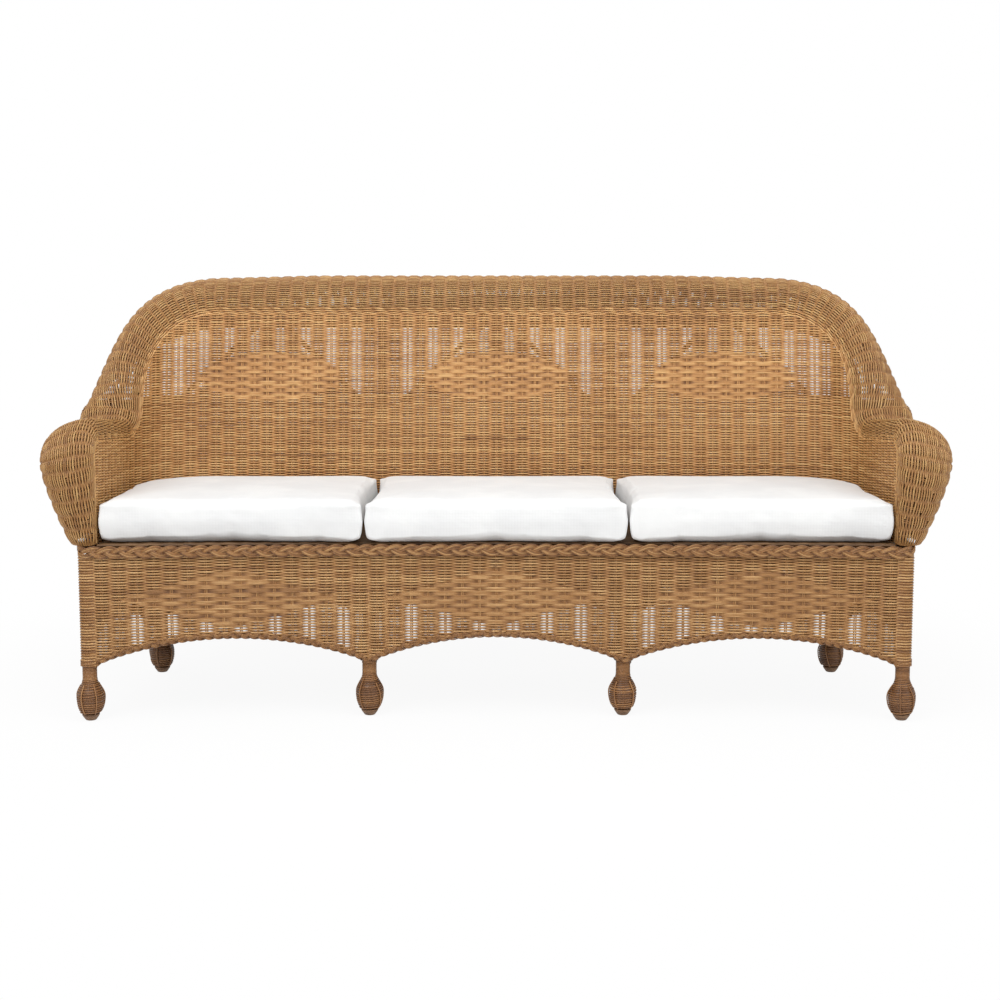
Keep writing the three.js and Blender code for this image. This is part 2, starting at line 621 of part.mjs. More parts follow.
const sideEnd = sideStraight + half(sideArc);
const sideArch = (d) => archHeight(d, 0, sideEnd);
const sideDistances = [
  ...steps(0, sideStraight, 8),
  ...steps(sideStraight, sideEnd - half(SHELL_JOINT_GAP), 4).slice(1),
];
const sideEdge = chords(sideDistances, sideArch);
const sideSurface = (d, t) => sideLine(d, mix(sideEdge(d) + borderReach, skirtTop, t));
const sideBorder = (d, t) => sideLine(d, sideArch(d) + t * BORDER_HEIGHT);
addPair("skirt", ribbedSkirt(sideSurface, sideDistances), RATTAN);
addPair("skirt_border", sheet(sideBorder, sideDistances, [0, 1], BORDER_THICKNESS), TRIM);

// Rear skirt between the middles of the rear corners, by signed distance from its middle.
const rearHalf = SKIRT_STRAIGHT + half(sideArc);
const rearBays = [-rearHalf, -REAR_INNER_LEG_X, REAR_INNER_LEG_X, rearHalf];

function rearLine(distance, z) {
  const beyond = Math.abs(distance) - SKIRT_STRAIGHT;
  if (beyond <= 0) return vec(distance, SKIRT_REAR_Y, z);
  const corner = baseCorner(1 - beyond / sideArc, 0, z);
  return vec(-Math.sign(distance) * corner.x, corner.y, z);
}

function rearArch(d) {
  const i = d < rearBays[1] ? 0 : d < rearBays[2] ? 1 : 2;
  return archHeight(d, rearBays[i], rearBays[i + 1]);
}

const rearDistances = rearBays
  .slice(0, -1)
  .flatMap((edge, i) => steps(edge, rearBays[i + 1], 12).slice(i ? 1 : 0))
  .map((d) => d * (1 - half(SHELL_JOINT_GAP) / rearHalf));
const rearEdge = chords(rearDistances, rearArch);
const rearSurface = (d, t) => rearLine(d, mix(rearEdge(d) + borderReach, skirtTop, t));
const rearBorder = (d, t) => rearLine(d, rearArch(d) + t * BORDER_HEIGHT);
add("rear_skirt", ribbedSkirt(rearSurface, rearDistances), RATTAN);
add("rear_skirt_border", sheet(rearBorder, rearDistances, [0, 1], BORDER_THICKNESS), TRIM);

// Deck braid along both sides and the front, in front of the rails.

const braidOut = half(DECK_BRAID_THICKNESS) - WEAVE_HALF;
const braidCorner = DECK_BRAID_CORNER_RADIUS;
const braidSideEnd = SKIRT_CORNER_Y + DECK_BRAID_TAIL;

function braidPath() {
  const x = SKIRT_HALF_WIDTH + braidOut;
  const front = frontLine(SKIRT_HALF_WIDTH - braidCorner) - braidOut;
  const arc = steps(0, QUARTER, 4).map((a) => [
    -x + braidCorner * (1 - Math.cos(a)),
    front + braidCorner * (1 - Math.sin(a)),
  ]);
  const side = steps(braidSideEnd, front + braidCorner, 5).map((y) => [-x, y]);
  const edge = x - braidCorner;
  const along = steps(-edge, edge, 16).map((px) => [px, frontLine(px) - braidOut]);
  const left = [...side.slice(0, -1), ...arc.slice(0, -1)];
  const right = left.map(([px, py]) => [-px, py]).reverse();
  return [...left, ...along, ...right].map(([px, py]) => vec(px, py, 0));
}

const braidPoints = braidPath();
function braidSurface(u, z) {
  const i = THREE.MathUtils.clamp(Math.floor(u), 0, braidPoints.length - 2);
  const point = braidPoints[i].clone().lerp(braidPoints[i + 1], u - i);
  return vec(point.x, point.y, z);
}
const braidStations = braidPoints.map((_, i) => i);
const braidHeights = [DECK_BRAID_TOP_HEIGHT - DECK_BRAID_HEIGHT, DECK_BRAID_TOP_HEIGHT];
add("deck_braid", sheet(braidSurface, braidStations, braidHeights, DECK_BRAID_THICKNESS), TRIM);

// Seat wall panels.

/** Top of the woven wall at a place along it, clear of the trim band. */
function wallTop(along) {
  const l = Math.abs(along);
  const gap = TRIM_REACH;
  if (l <= WALL_STRAIGHT) return TRIM_TOP_HEIGHT - gap;
  const edge = WING_FOOT_ALONG - gap;
  if (l < edge) {
    const reach = (l - WALL_STRAIGHT) / (edge - WALL_STRAIGHT);
    return WING_FOOT_HEIGHT + (TRIM_TOP_HEIGHT - gap - WING_FOOT_HEIGHT) * Math.sqrt(1 - reach ** 2);
  }
  const armEnd = WING_FOOT_ALONG + WING_FOOT_RADIUS;
  const reach = THREE.MathUtils.clamp((armEnd - l) / (WING_FOOT_RADIUS + gap), 0, 1);
  const climb = WING_FOOT_HEIGHT - TRIM_ARM_REAR_HEIGHT + gap;
  const foot = TRIM_ARM_REAR_HEIGHT - gap + climb * (1 - Math.sqrt(1 - reach ** 2));
  const armStart = alongArm(ARM_FRONT_Y + TRIM_FRONT_RADIUS, TRIM_ARM_FRONT_HEIGHT);
  const slope = THREE.MathUtils.clamp((l - armEnd) / (armStart - armEnd), 0, 1);
  return foot + slope * (TRIM_ARM_FRONT_HEIGHT - TRIM_ARM_REAR_HEIGHT);
}

const wallSplit = WING_FOOT_ALONG - TRIM_REACH;
const wallSurface = (along, t) => wallPoint(along, mix(WALL_BOTTOM, wallTop(along), t));
const wallStakePitch = BACK_POST_X / STAKES_TO_BACK_POST;
const backEnd = wallSplit - half(SHELL_JOINT_GAP);
const backRibCount = Math.floor((2 * backEnd) / wallStakePitch);
const backRibIndices = steps(-backRibCount, backRibCount, 2 * backRibCount);
const backRibs = backRibIndices.map((i) => half(i * wallStakePitch));
// The top falls away steeply at both ends, so each end has two more places.
const backEnds = [0.85, 1].map((share) => mix(WALL_STRAIGHT, backEnd, Math.sin(share * QUARTER)));
const backAlongs = [...backRibs, ...backEnds, ...backEnds.map((l) => -l)].sort((a, b) => a - b);
const wallGroove = (along) => ribGroove(along + half(wallStakePitch), wallStakePitch);
add("back_weave", sheet(wallSurface, backAlongs, [0, 1], WEAVE_THICKNESS, wallGroove), RATTAN);

/** Arm panel: its front edge is upright, so it is laid out by height and depth. */
function armSurface(u, t) {
  const z = mix(WALL_BOTTOM, armPanelTop(u), t);
  const front = alongArm(ARM_FRONT_Y + TRIM_REACH, z);
  return wallPoint(mix(wallSplit + half(SHELL_JOINT_GAP), front, u), z);
}

function armPanelTop(u) {
  const front = alongArm(ARM_FRONT_Y + TRIM_REACH, TRIM_ARM_FRONT_HEIGHT - TRIM_REACH);
  const l = mix(wallSplit + half(SHELL_JOINT_GAP), front, u);
  const turnStart = alongArm(ARM_FRONT_Y + TRIM_FRONT_RADIUS, TRIM_ARM_FRONT_HEIGHT);
  const radius = TRIM_FRONT_RADIUS - TRIM_REACH;
  const beyond = THREE.MathUtils.clamp((l - turnStart) / radius, 0, 1);
  return wallTop(Math.min(l, turnStart)) - radius * (1 - Math.sqrt(1 - beyond ** 2));
}
const armRearUs = [0, 0.01, 0.03, 0.06, 0.1, 0.14, 0.18];
const armFrontUs = [0.85, 0.9, 0.925, 0.95, 0.97, 0.985, 0.995, 1];
const armUs = [...armRearUs, 0.35, 0.6, ...armFrontUs];
addPair("arm_inner_weave", sheet(armSurface, armUs, [0, 0.5, 1], WEAVE_THICKNESS), RATTAN);

// Rolled border in three pieces, with an opening along its outer edge.

// The joint between arm and back, as a share of a station on the arm's side.
const ROLL_JOINT = 0.03;
const rollSurface = (s, t) => rollPoint(s, mix(rollStart(s), Math.PI, t));
const armRollStations = [
  ...steps(0, 1, 6),
  ...steps(1, 2, 4).slice(1),
  ...steps(2, 3, 3).slice(1),
  ...steps(3, 4 - ROLL_JOINT, 8).slice(1),
];
const rollShares = steps(0, 1, 8);
addPair("arm_roll", sheet(rollSurface, armRollStations, rollShares, WEAVE_THICKNESS), RATTAN);
const bothHalves = (stations) => [...stations, ...stations.slice(0, -1).map((s) => 12 - s).reverse()];
const backRollPlain = bothHalves([...steps(4 + ROLL_JOINT / 4, 5, 9), ...steps(5, 6, 2).slice(1)]);

// Running length of the border's crest, from the foot of the arm front to the middle of the back.
const crestStations = steps(0, 6, CREST_SAMPLES);
const crestPoints = crestStations.map((s) => rollPoint(s, QUARTER));
const crestRuns = [0];
for (let i = 1; i < crestPoints.length; i += 1) {
  crestRuns.push(crestRuns[i - 1] + crestPoints[i].distanceTo(crestPoints[i - 1]));
}
const crestLength = crestRuns[crestRuns.length - 1];
const rollStakePitch = crestLength / Math.round(crestLength / ROLL_STAKE_PITCH);
const crestRun = chords(crestStations, (s) => crestRuns[crestStations.indexOf(s)]);
const crestStation = chords(crestRuns, (run) => crestStations[crestRuns.indexOf(run)]);
const rollGroove = (s) => ribGroove(crestRun(s > 6 ? 12 - s : s), rollStakePitch);
const firstRib = Math.ceil((2 * crestRun(backRollPlain[0])) / rollStakePitch);
const lastRib = Math.round((2 * crestLength) / rollStakePitch);
const rollRibIndices = steps(firstRib, lastRib, lastRib - firstRib);
const rollRibs = rollRibIndices.map((i) => crestStation(half(i * rollStakePitch)));
const backRollStations = bothHalves([backRollPlain[0], ...rollRibs]);
const backRoll = sheet(
  rollSurface,
  backRollStations,
  rollShares,
  WEAVE_THICKNESS,
  rollGroove,
  backRollPlain,
);
add("back_roll", backRoll, RATTAN);

// Outer arm panel, from the arm front round the rear of the arm to the corner post.

/** Depth of the corner post's centre at a height. */
function cornerPostAt(z) {
  return wallPoint(CORNER_POST_ALONG, z, WEAVE_HALF + CLEARANCE + POST_RADIUS);
}

/** Outer panel path at a height: u 0..1 along the side, 1..2 round the rear corner, 2..3 to the post. */
function outerPanel(u, z) {
  const x = armOuter(z);
  const rear = cornerPostAt(z).y;
  const turn = (Math.min(u, 2) - 1) * QUARTER;
  const edgeHeight = ARM_WIDEST_HEIGHT - ARM_EDGE_DROP;
  const rise = THREE.MathUtils.clamp((z - ARM_BOTTOM) / (edgeHeight - ARM_BOTTOM), 0, 1);
  const start = ARM_FRONT_Y + mix(ARM_BASE_SETBACK, ARM_EDGE_SETBACK, rise) + ARM_EDGE_GAP;
  if (u <= 1) return vec(-x, mix(start, rear - ARM_REAR_RADIUS, u), z);
  if (u <= 2) {
    const y = rear - ARM_REAR_RADIUS * (1 - Math.sin(turn));
    return vec(-x + ARM_REAR_RADIUS * (1 - Math.cos(turn)), y, z);
  }
  const end = -cornerPostAt(z).x + POST_RADIUS + POLE_PLAY;
  return vec(-mix(x - ARM_REAR_RADIUS, end, u - 2), rear, z);
}

/** Height of the roll's outer edge at a depth, which the outer panel follows. */
function outerPanelTop(u) {
  const y = outerPanel(u, ARM_WIDEST_HEIGHT).y;
  let low = 1;
  let high = 4.3;
  for (let i = 0; i < 30; i += 1) {
    const middle = half(low + high);
    if (outerEdge(middle).y < y) low = middle;
    else high = middle;
  }
  return outerEdge(low).z - ARM_EDGE_GAP;
}

const outerUs = [...steps(0, 0.5, 3), ...steps(0.5, 1, 8).slice(1), ...steps(1, 2, 4).slice(1), 3];
const outerSurface = (u, t) => outerPanel(u, mix(ARM_BOTTOM, outerPanelTop(u), t));
addPair("arm_outer_weave", sheet(outerSurface, outerUs, steps(0, 1, 4), WEAVE_THICKNESS), RATTAN);

// Trim band over the joint between the wall and the rolled border.

function trimBand(station, v) {
  const s = station > 6 ? 12 - station : station;
  const { at, away } = trimFrame(s);
  const point = at.addScaledVector(away, v);
  return station > 6 ? vec(-point.x, point.y, point.z) : point;
}
const trimHalf = [
  0,
  1,
  ...steps(1, 2, 8).slice(1),
  3,
  ...steps(3, 4, 5).slice(1),
  ...steps(4, 5, 10).slice(1),
  6,
];
const trimStations = bothHalves(trimHalf);
const trimSpan = [-half(TRIM_WIDTH), half(TRIM_WIDTH)];
add("wale_trim", sheet(trimBand, trimStations, trimSpan, TRIM_THICKNESS), TRIM);

// Poles inside: posts, braces and the rails under the rolled border.

const behindWall = WEAVE_HALF + CLEARANCE;
const postOut = behindWall + POST_RADIUS;
const rollRailDepth = behindWall + TOP_RAIL_RADIUS + 1.5 * POLE_PLAY;
const postFoot = RAIL_TOP_HEIGHT + CLEARANCE + POST_RADIUS * Math.sin(WALL_TILT);

function postPoints(along, foot, top) {
  return [wallPoint(along, foot, postOut), wallPoint(along, top, postOut)];
}
const backPostTop = TRIM_TOP_HEIGHT - TOP_RAIL_RADIUS - CLEARANCE - POST_RADIUS * Math.sin(WALL_TILT);
const cornerPostTop = wallTop(CORNER_POST_ALONG) - 2 * TOP_RAIL_RADIUS;
addPair("back_post", pole(postPoints(BACK_POST_X, postFoot, backPostTop), POST_RADIUS, 1), POLE);
const cornerPost = postPoints(CORNER_POST_ALONG, postFoot - CLEARANCE, cornerPostTop);
addPair("corner_post", pole(cornerPost, POST_RADIUS, 1), POLE);

/** Stations of a back rail, from the left at `start` to the same place on the right. */
function backRailStations(start) {
  return bothHalves([...steps(start, 5, 8), ...steps(5, 6, 3).slice(1)]);
}

/** Point of the rail that lies behind the trim band. */
function trimRail(station) {
  const [along, z] = trimLine(station > 6 ? 12 - station : station);
  return wallPoint(station > 6 ? -along : along, z, TRIM_RAIL_OUT);
}
add("back_top_rail", pole(backRailStations(4.04).map(trimRail), TOP_RAIL_RADIUS, 48), POLE);

/** Point of the rail that lies under the border near its outer edge. */
function rollRail(station) {
  return underRoll(station, mix(rollStart(station), Math.PI, 0.875), rollRailDepth);
}
add("back_roll_rail", pole(backRailStations(4.3).map(rollRail), TOP_RAIL_RADIUS, 48), POLE);

/** Brace bent to a point in a bay between two posts, behind the woven wall. */
function bracePoints(from, to) {
  const out = behindWall + BRACE_RADIUS + 0.75 * POLE_PLAY;
  const ends = POST_RADIUS + CLEARANCE + BRACE_RADIUS;
  const start = from + ends;
  const end = to - ends;
  const apex = half(start + end);
  const peak = TRIM_TOP_HEIGHT - 2 * TOP_RAIL_RADIUS;
  const slope = (peak - BRACE_FOOT_HEIGHT) / (apex - start);
  const soften = (offset) => Math.hypot(offset, BRACE_APEX_ROUNDING) - BRACE_APEX_ROUNDING;
  return steps(start, end, 12).map((l) => wallPoint(-l, peak - slope * soften(l - apex), out));
}
add("left_back_brace", pole(bracePoints(-CORNER_POST_ALONG, -BACK_POST_X), BRACE_RADIUS, 18), POLE);
add("center_back_brace", pole(bracePoints(-BACK_POST_X, BACK_POST_X), BRACE_RADIUS, 18), POLE);
add("right_back_brace", pole(bracePoints(BACK_POST_X, CORNER_POST_ALONG), BRACE_RADIUS, 18), POLE);

const armPostX = -(WALL_HALF_WIDTH + postOut);
const armPostY = ARM_FRONT_Y + TRIM_FRONT_RADIUS + POST_RADIUS;
const armPostTop = TRIM_ARM_FRONT_HEIGHT - TOP_RAIL_RADIUS - BUTT_GAP;
const armPostFoot = DECK_BRAID_TOP_HEIGHT + CLEARANCE;
const armPost = [armPostFoot, armPostTop].map((z) => vec(armPostX, armPostY, z));
addPair("front_arm_post", pole(armPost, POST_RADIUS, 1), POLE);

const armRail = [2, 2.25, 2.5, 2.75, ...steps(3, 3.92, 6)].map(trimRail);
addPair("inner_arm_rail", pole(armRail, TOP_RAIL_RADIUS, 16), POLE);
const outerRailX = -(ARM_WIDEST_HALF_WIDTH - behindWall - TOP_RAIL_RADIUS - POLE_PLAY);
const outerRailFront = ARM_FRONT_Y + ARM_EDGE_SETBACK + ARM_SHOULDER_RUN;
const outerRailRear = outerRailFront + OUTER_RAIL_LENGTH;
const outerRailZ = ARM_WIDEST_HEIGHT - ARM_EDGE_GAP;
const outerRail = [outerRailFront, outerRailRear].map((y) => vec(outerRailX, y, outerRailZ));
addPair("outer_arm_rail", pole(outerRail, TOP_RAIL_RADIUS, 1), POLE);

// Cushions.

/** Outline points of a cushion from its centre, with a radius for each corner, anticlockwise. */
function cushionOutline(width, depth, radii) {
  const corners = [
    [1, -1, -QUARTER],
    [1, 1, 0],
    [-1, 1, QUARTER],
    [-1, -1, 2 * QUARTER],
  ];
  const points = [];
  corners.forEach(([sx, sy, start], i) => {
    const radius = radii[i];
    const cx = sx * (half(width) - radius);
    const cy = sy * (half(depth) - radius);
    for (const angle of steps(start, start + QUARTER, 5)) {
      points.push([cx + radius * Math.cos(angle), cy + radius * Math.sin(angle)]);
    }
    const [nx, ny] = corners[(i + 1) % 4];
    const next = radii[(i + 1) % 4];
    const [ax, ay] = points[points.length - 1];
    const bx = nx * (half(width) - next) + next * Math.cos(start + QUARTER);
    const by = ny * (half(depth) - next) + next * Math.sin(start + QUARTER);
    for (const t of [0.25, 0.5, 0.75]) {
      const draw = CUSHION_DRAW_IN * Math.sin(Math.PI * t);
      const inward = [-Math.cos(start + QUARTER) * draw, -Math.sin(start + QUARTER) * draw];
      points.push([mix(ax, bx, t) + inward[0], mix(ay, by, t) + inward[1]]);
    }
  });
  return points;
}

/** Height of a cushion's top at a share of the way from its middle to its edge. */
function crownHeight(share) {
  return CUSHION_EDGE_HEIGHT + CUSHION_CROWN * (1 - share ** 2.5);
}

/** Closed cushion: flat underside, rounded seams, bulging sides and a crowned top. */
function cushion(width, depth, radii) {
  const outline = cushionOutline(width, depth, radii);
  const count = outline.length;
  const seam = CUSHION_SEAM_RADIUS;
  const rings = [
    [0.5, 0, 0],
    [1, -seam - CUSHION_SIDE_BULGE, 0],
    [1, -CUSHION_SIDE_BULGE, seam],
    [1, 0, half(CUSHION_EDGE_HEIGHT)],
    [1, -CUSHION_SIDE_BULGE, CUSHION_EDGE_HEIGHT - seam],
    [1, -seam - CUSHION_SIDE_BULGE, CUSHION_EDGE_HEIGHT],
    ...[0.86, 0.66, 0.4].map((scale) => [scale, -seam, crownHeight(scale)]),
  ];
  const positions = [0, 0, 0];
  for (const [scale, grow, z] of rings) {
    for (const [x, y] of outline) {
      const length = Math.hypot(x, y);
      const factor = scale * (1 + grow / length);
      positions.push(x * factor, y * factor, z);
    }
  }
  positions.push(0, 0, crownHeight(0));
  const index = [];
  const top = 1 + rings.length * count;
  for (let j = 0; j < count; j += 1) {
    const k = (j + 1) % count;
    index.push(0, 1 + k, 1 + j);
    for (let r = 0; r < rings.length - 1; r += 1) {
      const a = 1 + r * count;
      const b = a + count;
      index.push(a + j, a + k, b + k, a + j, b + k, b + j);
    }
    const last = 1 + (rings.length - 1) * count;
    index.push(last + j, last + k, top);
  }
  const geometry = new THREE.BufferGeometry();
  geometry.setAttribute("position", new THREE.Float32BufferAttribute(positions, 3));
  geometry.setIndex(index);
  return geometry;
}

const cushionRear = wallRear(DECK_TOP) - WEAVE_HALF - CUSHION_SIDE_GAP;
const cushionDepth = cushionRear - CUSHION_FRONT_Y;
const cushionMiddle = half(cushionRear + CUSHION_FRONT_Y);
const cushionPitch = CUSHION_WIDTH + CUSHION_GAP;
const small = CUSHION_CORNER_RADIUS;
const large = WALL_CORNER_RADIUS - WEAVE_HALF - CUSHION_SIDE_GAP;
const cushionPlaces = [
  ["left_cushion", -1, [small, small, large, small]],
  ["center_cushion", 0, [small, small, small, small]],
  ["right_cushion", 1, [small, large, small, small]],
];
for (const [name, place, radii] of cushionPlaces) {
  const mesh = add(name, cushion(CUSHION_WIDTH, cushionDepth, radii), FABRIC);
  mesh.position.set(place * cushionPitch, cushionMiddle, DECK_TOP + CLEARANCE);
}

// Centre the whole part over the origin.
const middle = new THREE.Box3().setFromObject(group).getCenter(vec(0, 0, 0));
for (const mesh of group.children) mesh.position.y -= middle.y;

export default group;
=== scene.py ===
"""Three-seat rattan garden sofa: woven reeds, plaits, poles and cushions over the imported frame.

Metres, +Z up, the front faces -Y. Each piece lies in the space that its solid holds; the cushions'
cloth reaches a few millimetres further.
"""
import logging
import math
from dataclasses import dataclass, field
from enum import IntEnum
from typing import Any, Callable, Sequence

import bpy
import numpy as np
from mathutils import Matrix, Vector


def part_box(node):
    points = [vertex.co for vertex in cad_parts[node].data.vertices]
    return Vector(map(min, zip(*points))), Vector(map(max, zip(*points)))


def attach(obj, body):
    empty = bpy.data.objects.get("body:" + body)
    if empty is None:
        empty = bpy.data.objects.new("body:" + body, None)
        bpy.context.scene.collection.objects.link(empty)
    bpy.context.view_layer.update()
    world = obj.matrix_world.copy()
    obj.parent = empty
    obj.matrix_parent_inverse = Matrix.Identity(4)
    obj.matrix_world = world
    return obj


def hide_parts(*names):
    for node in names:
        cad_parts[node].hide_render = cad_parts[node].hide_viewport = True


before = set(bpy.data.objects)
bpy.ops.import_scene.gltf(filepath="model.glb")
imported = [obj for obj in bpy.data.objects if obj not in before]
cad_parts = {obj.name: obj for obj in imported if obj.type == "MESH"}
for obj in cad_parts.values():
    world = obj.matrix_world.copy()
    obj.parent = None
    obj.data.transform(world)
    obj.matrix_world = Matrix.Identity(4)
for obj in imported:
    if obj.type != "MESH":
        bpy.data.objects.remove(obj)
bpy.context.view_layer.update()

LOG = logging.getLogger("sofa")
QUARTER = math.pi / 2
Array = np.ndarray
Material = bpy.types.Material
Mesh = bpy.types.Mesh
Object = bpy.types.Object
Surface = Callable[[Array, Array], Array]
Outline = Callable[[Array, Array], Array]
Colour = tuple[float, float, float]
Place = tuple[float, float, float]
MIRROR = np.array([-1.0, 1.0, 1.0])


def mix(a: Any, b: Any, t: Any) -> Any:
    """Value at share t of the way from a to b."""
    return a + (b - a) * t


def smoothstep(t: Any, low: float, high: float) -> Any:
    """Smooth 0 to 1 while t goes from low to high."""
    share = np.clip((t - low) / (high - low), 0, 1)
    return share * share * (3 - 2 * share)


def unit(vectors: Array) -> Array:
    """The vectors with length 1."""
    return vectors / np.maximum(np.linalg.norm(vectors, axis=-1, keepdims=True), 1e-12)


def floats(*values: Any) -> Sequence[Array]:
    """The values as arrays of numbers of one shape."""
    return np.broadcast_arrays(*(np.asarray(value, float) for value in values))


def distances(points: Array) -> Array:
    """Distance along a line at each of its points."""
    return np.concatenate([[0], np.cumsum(np.linalg.norm(np.diff(points, axis=0), axis=1))])


def resampled(at: Array, run: Array, points: Array) -> Array:
    """Points at distances along a line whose own points lie at the distances run."""
    return np.stack([np.interp(at, run, points[:, k]) for k in range(3)], 1)


def stretches(mask: Array) -> list[tuple[int, int]]:
    """First place and end of each unbroken stretch of true values."""
    steps = np.flatnonzero(np.diff(np.concatenate([[0], mask.astype(int), [0]])))
    return list(zip(steps[::2], steps[1::2]))


def both_halves(left: Array) -> Array:
    """A line over the left half that ends in the middle, carried on over its mirror."""
    return np.concatenate([left, (left * MIRROR)[-2::-1]])


def at_height(plan: Array, z: float) -> Array:
    """Points of a plan at one height."""
    return np.concatenate([plan, np.full((len(plan), 1), z)], 1)


def surface_normals(surface: Surface, u: Array, v: Array) -> Array:
    """Outward unit normals of a surface by small differences.

    Args:
        surface: Point for each u and v.
        u: First coordinate of each point.
        v: Second coordinate of each point.

    Returns:
        One normal for each point.
    """
    step = 1e-4
    along_u = surface(u + step, v) - surface(u - step, v)
    along_v = surface(u, v + step) - surface(u, v - step)
    return unit(np.cross(along_u, along_v))


# The solids are centred over the origin, which moves every depth by this.
DEPTH_SHIFT = 0.00248
# Middles of the posts and of the rails that lie behind the seat wall, from the wall.
POST_DEPTH = 0.0174
RAIL_DEPTH = 0.0172


@dataclass(frozen=True)
class SeatForm:
    """The seat shell: the woven wall, the trim line on it and the rolled border beyond."""

    wall_half: float = 0.936
    corner_radius: float = 0.200
    wall_rear: float = 0.155 + DEPTH_SHIFT
    wall_tilt: float = math.radians(10)
    seat_height: float = 0.520
    arm_front: float = -0.385 + DEPTH_SHIFT
    wall_bottom: float = 0.409
    arm_bottom: float = 0.4225
    trim_top: float = 0.944
    trim_arm_front: float = 0.657
    trim_arm_rear: float = 0.632
    trim_front_radius: float = 0.045
    wing_radius: float = 0.068
    wing_turn: float = 0.729
    wing_rise: float = 0.073
    roll_depth: float = 0.205
    roll_rise: float = 0.112
    roll_edge: float = 0.893
    wing_bulge: float = 0.062
    wing_reach: float = 0.110
    wing_lead: float = math.radians(15)
    wing_sweep: float = 0.110
    arm_width: float = 0.134
    arm_widest: float = 0.620
    arm_base_width: float = 0.058
    arm_base_bulge: float = 0.028
    arm_front_bulge: float = 0.062
    arm_top_bulge: float = 0.052
    arm_rear_bulge: float = 0.042
    corner_rise: float = 0.105
    corner_run: float = 0.35
    corner_ease: float = 2.5
    crest_lean: float = 0.020
    arm_fullness: float = 0.8
    back_fullness: float = 0.92
    base_setback: float = 0.015
    edge_setback: float = 0.045
    edge_drop: float = 0.030
    shoulder_run: float = 0.060
    arm_taper: float = 1.33
    arm_rear_radius: float = 0.070
    arm_foot: float = 0.4164
    wing_drop: float = 0.005
    panel_inset: float = 0.004

    @property
    def straight(self) -> float:
        """Half length of the straight back."""
        return self.wall_half - self.corner_radius

    @property
    def corner_length(self) -> float:
        """Length of the wall round one rear corner."""
        return self.corner_radius * QUARTER

    @property
    def corner_middle(self) -> float:
        """Distance along the wall of the middle of a rear corner."""
        return self.straight + self.corner_length / 2

    @property
    def wing_along(self) -> float:
        """Distance along the wall of the wing's foot."""
        return self.straight + self.wing_turn * self.corner_length

    @property
    def wing_foot(self) -> float:
        """Height of the wing's foot."""
        return self.trim_arm_rear + self.wing_rise

    def rear(self, z: Array) -> Array:
        """Rear of the wall at a height: it leans back from the seat."""
        return self.wall_rear + (z - self.seat_height) * math.tan(self.wall_tilt)

    def wall(self, along: Array, z: Array, out: Any = 0.0) -> Array:
        """Points on the seat wall.

        Args:
            along: Distance from the middle of the back, positive to the left.
            z: Height.
            out: Distance behind the wall.

        Returns:
            One point for each place.
        """
        along, z, out = np.broadcast_arrays(along, z, out)
        side = np.where(along < 0, 1.0, -1.0)
        reach = self.corner_radius + out
        beyond = np.abs(along) - self.straight
        turn = np.clip(beyond / self.corner_radius, 0, QUARTER)
        x = np.minimum(np.abs(along), self.straight) + reach * np.sin(turn)
        arm = np.maximum(0, beyond - self.corner_length)
        y = self.rear(z) - self.corner_radius + reach * np.cos(turn) - arm
        return np.stack([side * x, y, z], axis=-1)

    def along_arm(self, y: Any, z: Any) -> Any:
        """Distance along the wall of a place on the straight arm."""
        return self.straight + self.corner_length + self.rear(z) - self.corner_radius - y

    def trim_line(self, station: Array) -> tuple[Array, Array]:
        """Trim line in the wall's plane, as distance along it and height.

        Args:
            station: 0 at the foot of the left arm's front, 1 at its top, 2 on the arm, 3 at the
                wing, 4 at the wing's foot, 5 at the end of the corner, 6 at the middle.

        Returns:
            Distance along the wall and height of each station.
        """
        s = np.asarray(station, float)
        turn = (s - np.floor(s)) * QUARTER
        radius = self.trim_front_radius
        rise = self.trim_arm_front - radius
        arm_end = self.wing_along + self.wing_radius
        z0 = mix(self.arm_bottom, rise, s)
        z1 = rise + radius * np.sin(turn)
        arm_start = self.along_arm(self.arm_front + radius, self.trim_arm_front)
        places = [
            (self.along_arm(self.arm_front, z0), z0),
            (self.along_arm(self.arm_front + radius * (1 - np.cos(turn)), z1), z1),
            (mix(arm_start, arm_end, s - 2), mix(self.trim_arm_front, self.trim_arm_rear, s - 2)),
            (
                arm_end - self.wing_radius * np.sin(turn),
                self.trim_arm_rear + self.wing_rise * (1 - np.cos(turn)),
            ),
            (
                mix(self.straight, self.wing_along, np.cos(turn)),
                mix(self.wing_foot, self.trim_top, np.sin(turn)),
            ),
        ]
        tests = [s <= 1, s < 2, s < 3, s < 4, s < 5]
        along = np.select(tests, [a for a, _ in places], self.straight * (6 - s))
        height = np.select(tests, [z for _, z in places], self.trim_top)
        return along, height

    def trim_frame(self, station: Array) -> tuple[Array, Array]:
        """Trim points and the directions out of the wall's edge, in its plane.

        Args:
            station: Places along the left half of the border.

        Returns:
            The points and the directions.
        """
        step = 0.01
        along, z = self.trim_line(station)
        a0, z0 = self.trim_line(station - step)
        a1, z1 = self.trim_line(np.minimum(6, station + step))
        run = np.hypot(a1 - a0, z1 - z0)
        reach = 0.001
        at = self.wall(along, z)
        beyond = self.wall(along + reach * (z1 - z0) / run, z - reach * (a1 - a0) / run)
        return at, unit(beyond - at)

